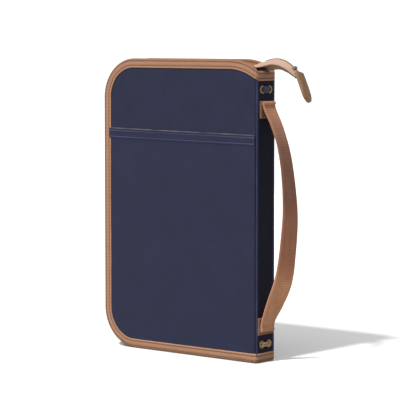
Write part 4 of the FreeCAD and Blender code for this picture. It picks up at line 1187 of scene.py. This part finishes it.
def make_strap():
    """Ribbed webbing with a rounded selvage, folded and sewn at its ends.  The middle rides on
    the handle and its two ends bend to the spine."""
    path = smooth_path(STRAP_ROUTE, RIB_PITCH / 4)
    run = lengths(path)
    way = tangents(path)
    heights = path[:, 1]
    turns = np.interp(heights, *zip(*STRAP_TWIST))
    spread = 25
    turns = np.convolve(np.pad(turns, spread // 2, "edge"), np.ones(spread) / spread, "valid")
    twist = np.radians(turns)[:, None]
    normal = np.column_stack([way[:, 1], 0 * run, -way[:, 0]])
    across = np.array((0.0, 1.0, 0.0))
    us = across * np.cos(twist) + normal * np.sin(twist)
    vs = normal * np.cos(twist) - across * np.sin(twist)
    section = np.array(STRAP_FACE + [(-u, -v) for u, v in STRAP_FACE])
    grid = carried(section, upright(path), us, vs)
    ribs = 0.16 * np.cos(2 * math.pi * run / RIB_PITCH)
    ribs *= np.interp(heights, (60.0, 140.0), (0.35, 1.0))
    body = (np.abs(section[:, 0]) < 8.0) * np.sign(section[:, 1])
    grid += vs[:, None, :] * (ribs[:, None] * body[None, :])[:, :, None]
    sway = np.array([0.25 * rough(z, 0.0, 7.0, 26.0) for z in heights])
    sway *= np.clip(np.sin(math.pi * run / run[-1]) * 3, 0, 1)
    head = np.clip((heights - 196.0) / 30.0, 0, 1)[:, None]
    grid[:, :, 1] = (grid[:, :, 1] + sway[:, None]) * (1 - 0.1 * head) + HEAD_SHIFT * head
    low_cut, high_cut = (int(np.argmin(np.abs(heights - z))) for z in STRAP_CUTS)
    lower, middle, upper = (
        sweep(f"strap_{name}", grid[part], WEBBING, along=run[part])
        for name, part in (("lower_end", slice(low_cut + 1)),
                           ("middle", slice(low_cut, high_cut + 1)),
                           ("upper_end", slice(high_cut, None))))
    stand_for(lower, "webbing", "lower_handle_end")
    blend_mm(lower)
    dress(middle, "handle", "webbing", "handle_webbing")
    stand_for(upper, "webbing", "upper_handle_end")
    blend_mm(upper)
    make_strap_sewing()


def make_strap_sewing():
    """The strap's turned-in ends and the rows that hold them to the patches."""
    for place, z, way, half, shift in (
            ("lower", STRAP_ROUTE[0][1], 1.0, STRAP_HALF - 0.4, 0.0),
            ("upper", STRAP_ROUTE[-1][1], -1.0, STRAP_HALF * 0.9 - 0.2, HEAD_SHIFT)):
        rows = []
        for y in np.linspace(-half, half, 20):
            bulge = 1 + 0.06 * rough(y, z, 1.0, 4.0)
            plan = [(4.25 + 1.15 * bulge * math.sin(a), -1.5 * bulge * math.cos(a))
                    for a in np.linspace(-math.pi / 2, math.pi / 2, 9)]
            plan += [(5.3, 1.2), (4.2, 1.9), (3.2, 1.2)]
            rows.append([(x, y + shift, z + way * up) for x, up in plan])
        dress(sweep(f"strap_{place}_fold", rows, WEBBING), "spine", "webbing")
        lines = [((x, shift - half + 0.8, z + way * d), (x, shift + half - 0.8, z + way * d))
                 for x, d in ((5.36, 0.2), (5.02, 3.6))]
        sew(f"strap_{place}_stitches", "spine", "webbing", lines, (1, 0, 0), TAN_THREAD, 2.2,
            1.7, 0.3)


# --- the zip's tail and its tab ---------------------------------------------------------------
TAIL_ROUTE = [(-17.0, 272.4), (-13.4, 273.6), (-5.0, 276.4), (1.2, 278.2), (8.0, 279.9),
              (15.0, 280.5), (22.0, 279.4), (29.0, 276.2), (34.5, 272.4), (38.8, 268.9),
              (40.2, 267.4)]
TAIL_LEGS = {"front": 7.2, "back": 9.6}     # how wide each half's strip is
TAIL_ROLL = math.radians(18.0)              # the tail and its tab lean over to one side
TENT_TILT = math.radians(62.0)              # of a leg of the full tent, below level
TAIL_TENT = (-13.4, 6.6)                    # X between which the tail opens from flat to tent
TAIL_GATHER = (26.0, 39.0)                  # X between which it closes up towards the tab
TAIL_SPLIT_X = 2.6                          # root and free strip meet here
TAIL_THICK = 0.75
TAIL_END = np.array([38.8, 0.0, 268.9])
TAB_TIP = np.array([50.6, 0.0, 241.4])


def tail_frames():
    """The ridge's points and, at each, the directions under it and of its two legs."""
    path = smooth_path(TAIL_ROUTE, 0.7)
    way = tangents(path)
    down = np.column_stack([way[:, 1], 0 * path[:, 0], -way[:, 0]])
    share = np.interp(path[:, 0], TAIL_TENT, (0, 1))
    gather = np.interp(path[:, 0], TAIL_GATHER, (0, 1))
    return upright(path), down, share, gather


def make_tail():
    """The tape past the covers' top.  Each half is a thin strip with a folded outer edge, which
    goes from flat between the covers to a tent, and closes up where it enters the tab."""
    ridge, down, share, gather = tail_frames()
    along, run_ways = lengths(ridge), tangents(ridge)
    cut = int(np.argmin(np.abs(ridge[:, 0] - TAIL_SPLIT_X)))
    for place, side in (("front", -1), ("back", 1)):
        rows = []
        for i, at in enumerate(ridge):
            tilt = TENT_TILT * (0.35 + 0.65 * share[i]) + TAIL_ROLL * share[i] * side
            tilt += gather[i] * math.radians(2.0 if side > 0 else 18.0)
            way = np.array([0.0, side * math.cos(tilt), 0.0]) + down[i] * math.sin(tilt)
            face = np.cross(run_ways[i], way) * side
            leg = TAIL_LEGS[place] * (1 - 0.25 * gather[i])
            skin = []
            for d, lift in ((0.35, 0.0), (1.6, 0.12), (4.2, 0.25), (6.8, 0.12), (8.8, 0.0),
                            (leg, -0.05)):
                curl = 0.25 * (d / leg) ** 2 * math.sin(at[0] * 0.3 + side)
                skin.append(at + way * min(d, leg) + face * (lift + curl))
            half = face * TAIL_THICK / 2
            rows.append([p + half for p in skin] + [skin[-1] + way * 0.3]
                        + [p - half for p in skin[::-1]])
        grid = np.array(rows)
        root = sweep(f"tail_{place}_root", grid[:cut + 1], TAPE, along=along[:cut + 1])
        stand_for(root, "zip_tape", f"tail_root_{place}")
        blend_mm(root)
        free = sweep(f"tail_{place}_strip", grid[cut:], TAPE, along=along[cut:])
        stand_for(free, "zip_tape", f"tail_{place}_tape")
        blend_mm(free)
    make_tail_coil(ridge, down)


def make_tail_coil(ridge, down):
    """The closed teeth along the tail's ridge, and the clip that ends them."""
    start = int(np.argmin(np.abs(ridge[:, 0] - TAIL_SPLIT_X)))
    path = ridge[start:-3]
    rows = []
    for i, at in enumerate(path):
        bead = 0.62 + 0.12 * math.cos(i * 1.9)
        rows.append([at + np.array([0.0, bead * 1.3 * math.cos(a), 0.0])
                     - down[start + i] * bead * math.sin(a) for a in ring(10)])
    coil = sweep("tail_teeth", rows, NYLON)
    stand_for(coil, "zip_coil", "tail_coil")
    blend_mm(coil)
    rounded_cad("zip_end_stop", STEEL, 0.35)


TAB_HALF = 10.0
TAB_THICK = 1.5
TAB_SEAM = 1.7                              # the tab's stitches, inset from its edge


def tab_bend(t, length):
    """How far the tab bulges out at a distance along it."""
    return 0.5 * math.sin(math.pi * t / length) * 0.6


def seam_point(at, length):
    """A place on the tab's seam, down one side, round the tip and up the other: distances along
    and across the tab, and the direction there."""
    r = TAB_HALF - TAB_SEAM
    side = length - TAB_HALF - 1.8
    if at < side:
        return 1.8 + at, -r, 1.0, 0.0
    if at < side + math.pi * r:
        a = (at - side) / r
        return length - TAB_HALF + r * math.sin(a), -r * math.cos(a), math.cos(a), math.sin(a)
    return 1.8 + 2 * side + math.pi * r - at, r, -1.0, 0.0


def make_tab():
    """Two leather layers sewn round the tape's end: pinched at the top, rounded at the tip."""
    along = (TAB_TIP - TAIL_END) / np.linalg.norm(TAB_TIP - TAIL_END)
    start = TAIL_END + along * 0.3
    length = np.linalg.norm(TAB_TIP - start)
    outward = np.array([-along[2], 0.0, along[0]])
    face = outward * math.cos(TAIL_ROLL) + np.array([0.0, 1.0, 0.0]) * math.sin(TAIL_ROLL)
    across = np.cross(face, along)
    for name, way in (("outer", 1.0), ("inner", -1.0)):
        rows = []
        for t in np.concatenate([[0.0, 0.15, 0.5], np.linspace(1.2, length - 2.0, 26),
                                 [length - 1.2, length - 0.6, length - 0.2, length]]):
            from_tip = length - t
            wide = TAB_HALF * math.sqrt(max(1 - max(1 - from_tip / TAB_HALF, 0.0) ** 2, 0.004))
            wide *= 0.93 + 0.07 * min(t / 6.0, 1.0)
            middle = start + along * t + face * tab_bend(t, length)
            row = []
            for c in np.linspace(-1, 1, 17):
                inset = (1 - abs(c)) * wide
                edge = TAB_THICK * (1 - 0.55 * math.exp(-inset / 0.5))
                edge *= 1 - 0.4 * math.exp(-from_tip / 0.4) - 0.25 * math.exp(-t / 0.4)
                sewn = 0.16 * math.exp(-((inset - TAB_SEAM) / 0.4) ** 2)
                puff = 0.25 * (1 - c * c) * math.exp(-t / 9.0)
                row.append(middle + across * wide * c + face * way * (edge - sewn + puff))
            rows.append(row + [middle + across * wide * c for c in np.linspace(1, -1, 9)])
        layer = sweep(f"tab_{name}_layer", rows, LEATHER)
        stand_for(layer, "tan_leather", f"tab_{name}_leather")
        centres, ways = [], []
        total = 2 * (length - TAB_HALF - 1.8) + math.pi * (TAB_HALF - TAB_SEAM)
        for at in np.linspace(0, total, 30):
            t, c, dt, dc = seam_point(at, length)
            lift = way * (TAB_THICK - 0.05) + tab_bend(t, length)
            centres.append(start + along * t + across * c + face * lift)
            ways.append(along * dt + across * dc)
        row = stitches(f"tab_{name}_stitches", centres, ways, face * way, TAN_THREAD, 1.7, 0.27)
        stand_for(row, "tan_leather")
        for piece in (layer, row):
            blend_mm(piece)


# --- camera, light and floor ------------------------------------------------------------------
FLOOR_HALF = 40.0                           # metres, out to where no edge is seen
FLOOR_SEEN, FLOOR_BOUNCE = 0.93, 0.42       # the floor's tone to the camera, and to the piece
SKY_SEEN, SKY_LIGHT = 1.1, 0.22
CAMERA_AT = (1.0985, -1.4384, 0.3026)
CAMERA_WAY = (-0.6304, 0.7718, -0.0837)


def aimed(name, data, way):
    """A lamp or camera in the scene that looks along way."""
    obj = bpy.data.objects.new(name, data)
    obj.rotation_mode = "QUATERNION"
    obj.rotation_quaternion = Vector(way).to_track_quat("-Z", "Y")
    scene.collection.objects.link(obj)
    return obj


def sun(name, way, strength, spread):
    lamp = bpy.data.lights.new(name, "SUN")
    lamp.energy = strength
    lamp.angle = math.radians(spread)
    aimed(name, lamp, way)


def make_studio():
    """A long lens from just above the piece, a key light from the front, a broad light above,
    and a pale floor."""
    corners = [(x * FLOOR_HALF, y * FLOOR_HALF, 0) for x, y in ((-1, -1), (1, -1), (1, 1), (-1, 1))]
    mesh = bpy.data.meshes.new("floor")
    mesh.from_pydata(corners, [], [(0, 1, 2, 3)])
    floor = bpy.data.objects.new("floor", mesh)
    scene.collection.objects.link(floor)
    s = Shader("floor_paint", Roughness=0.9)
    seen = s.node("ShaderNodeLightPath").outputs["Is Camera Ray"]
    s.colour(s.mix(seen, rgba((FLOOR_BOUNCE,) * 3), rgba((FLOOR_SEEN,) * 3)))
    mesh.materials.append(s.material)

    world = bpy.data.worlds.new("studio")
    scene.world = world
    world.use_nodes = True
    tree = world.node_tree
    background = tree.nodes["Background"]
    path = tree.nodes.new("ShaderNodeLightPath")
    strength = tree.nodes.new("ShaderNodeMix")
    strength.inputs[2].default_value = SKY_LIGHT
    strength.inputs[3].default_value = SKY_SEEN
    tree.links.new(path.outputs["Is Camera Ray"], strength.inputs[0])
    tree.links.new(strength.outputs[0], background.inputs["Strength"])
    background.inputs["Color"].default_value = (1, 1, 1, 1)

    sun("key", (0.03, 0.579, -0.815), 2.75, 4.0)
    sun("overhead", (0.05, 0.1, -1.0), 1.6, 110.0)

    camera = bpy.data.cameras.new("camera")
    camera.lens = 177.3
    camera.sensor_width = 36.0
    camera.clip_end = 100.0
    scene.camera = aimed("camera", camera, CAMERA_WAY)
    scene.camera.location = CAMERA_AT
    scene.view_settings.view_transform = "Standard"


# --- build ------------------------------------------------------------------------------------
make_studio()
for prefix, side in (("front", -1), ("back", 1)):
    make_cover_cloth(prefix, side)
    make_cover_binding(prefix, side)
    make_fold_cloth(prefix, side)
    for place in ("bottom", "top"):
        make_fold_tape(prefix, side, place)
    make_zip(prefix, side)
make_outer_pocket()
make_spine_cloth()
make_spine_bindings()
make_inside_pocket("document_sleeve", "front_cover", -1, INSIDE_CANVAS, True)
make_inside_pocket("passport_pocket", "front_cover", -1, INSIDE_CANVAS, False)
make_inside_pocket("boarding_pass_pocket", "back_cover", 1, INSIDE_CANVAS, True)
for place in ("upper", "middle", "lower"):
    make_inside_pocket(f"card_pocket_{place}", "back_cover", 1, INSIDE_CANVAS, False)
make_pen_loop()
make_eyelets()
make_tie_cord()
make_elastic()
make_patch("lower")
make_patch("upper")
make_strap()
make_tail()
make_tab()
rounded_cad("zip_slider", BRASS, 0.25)
make_pull()
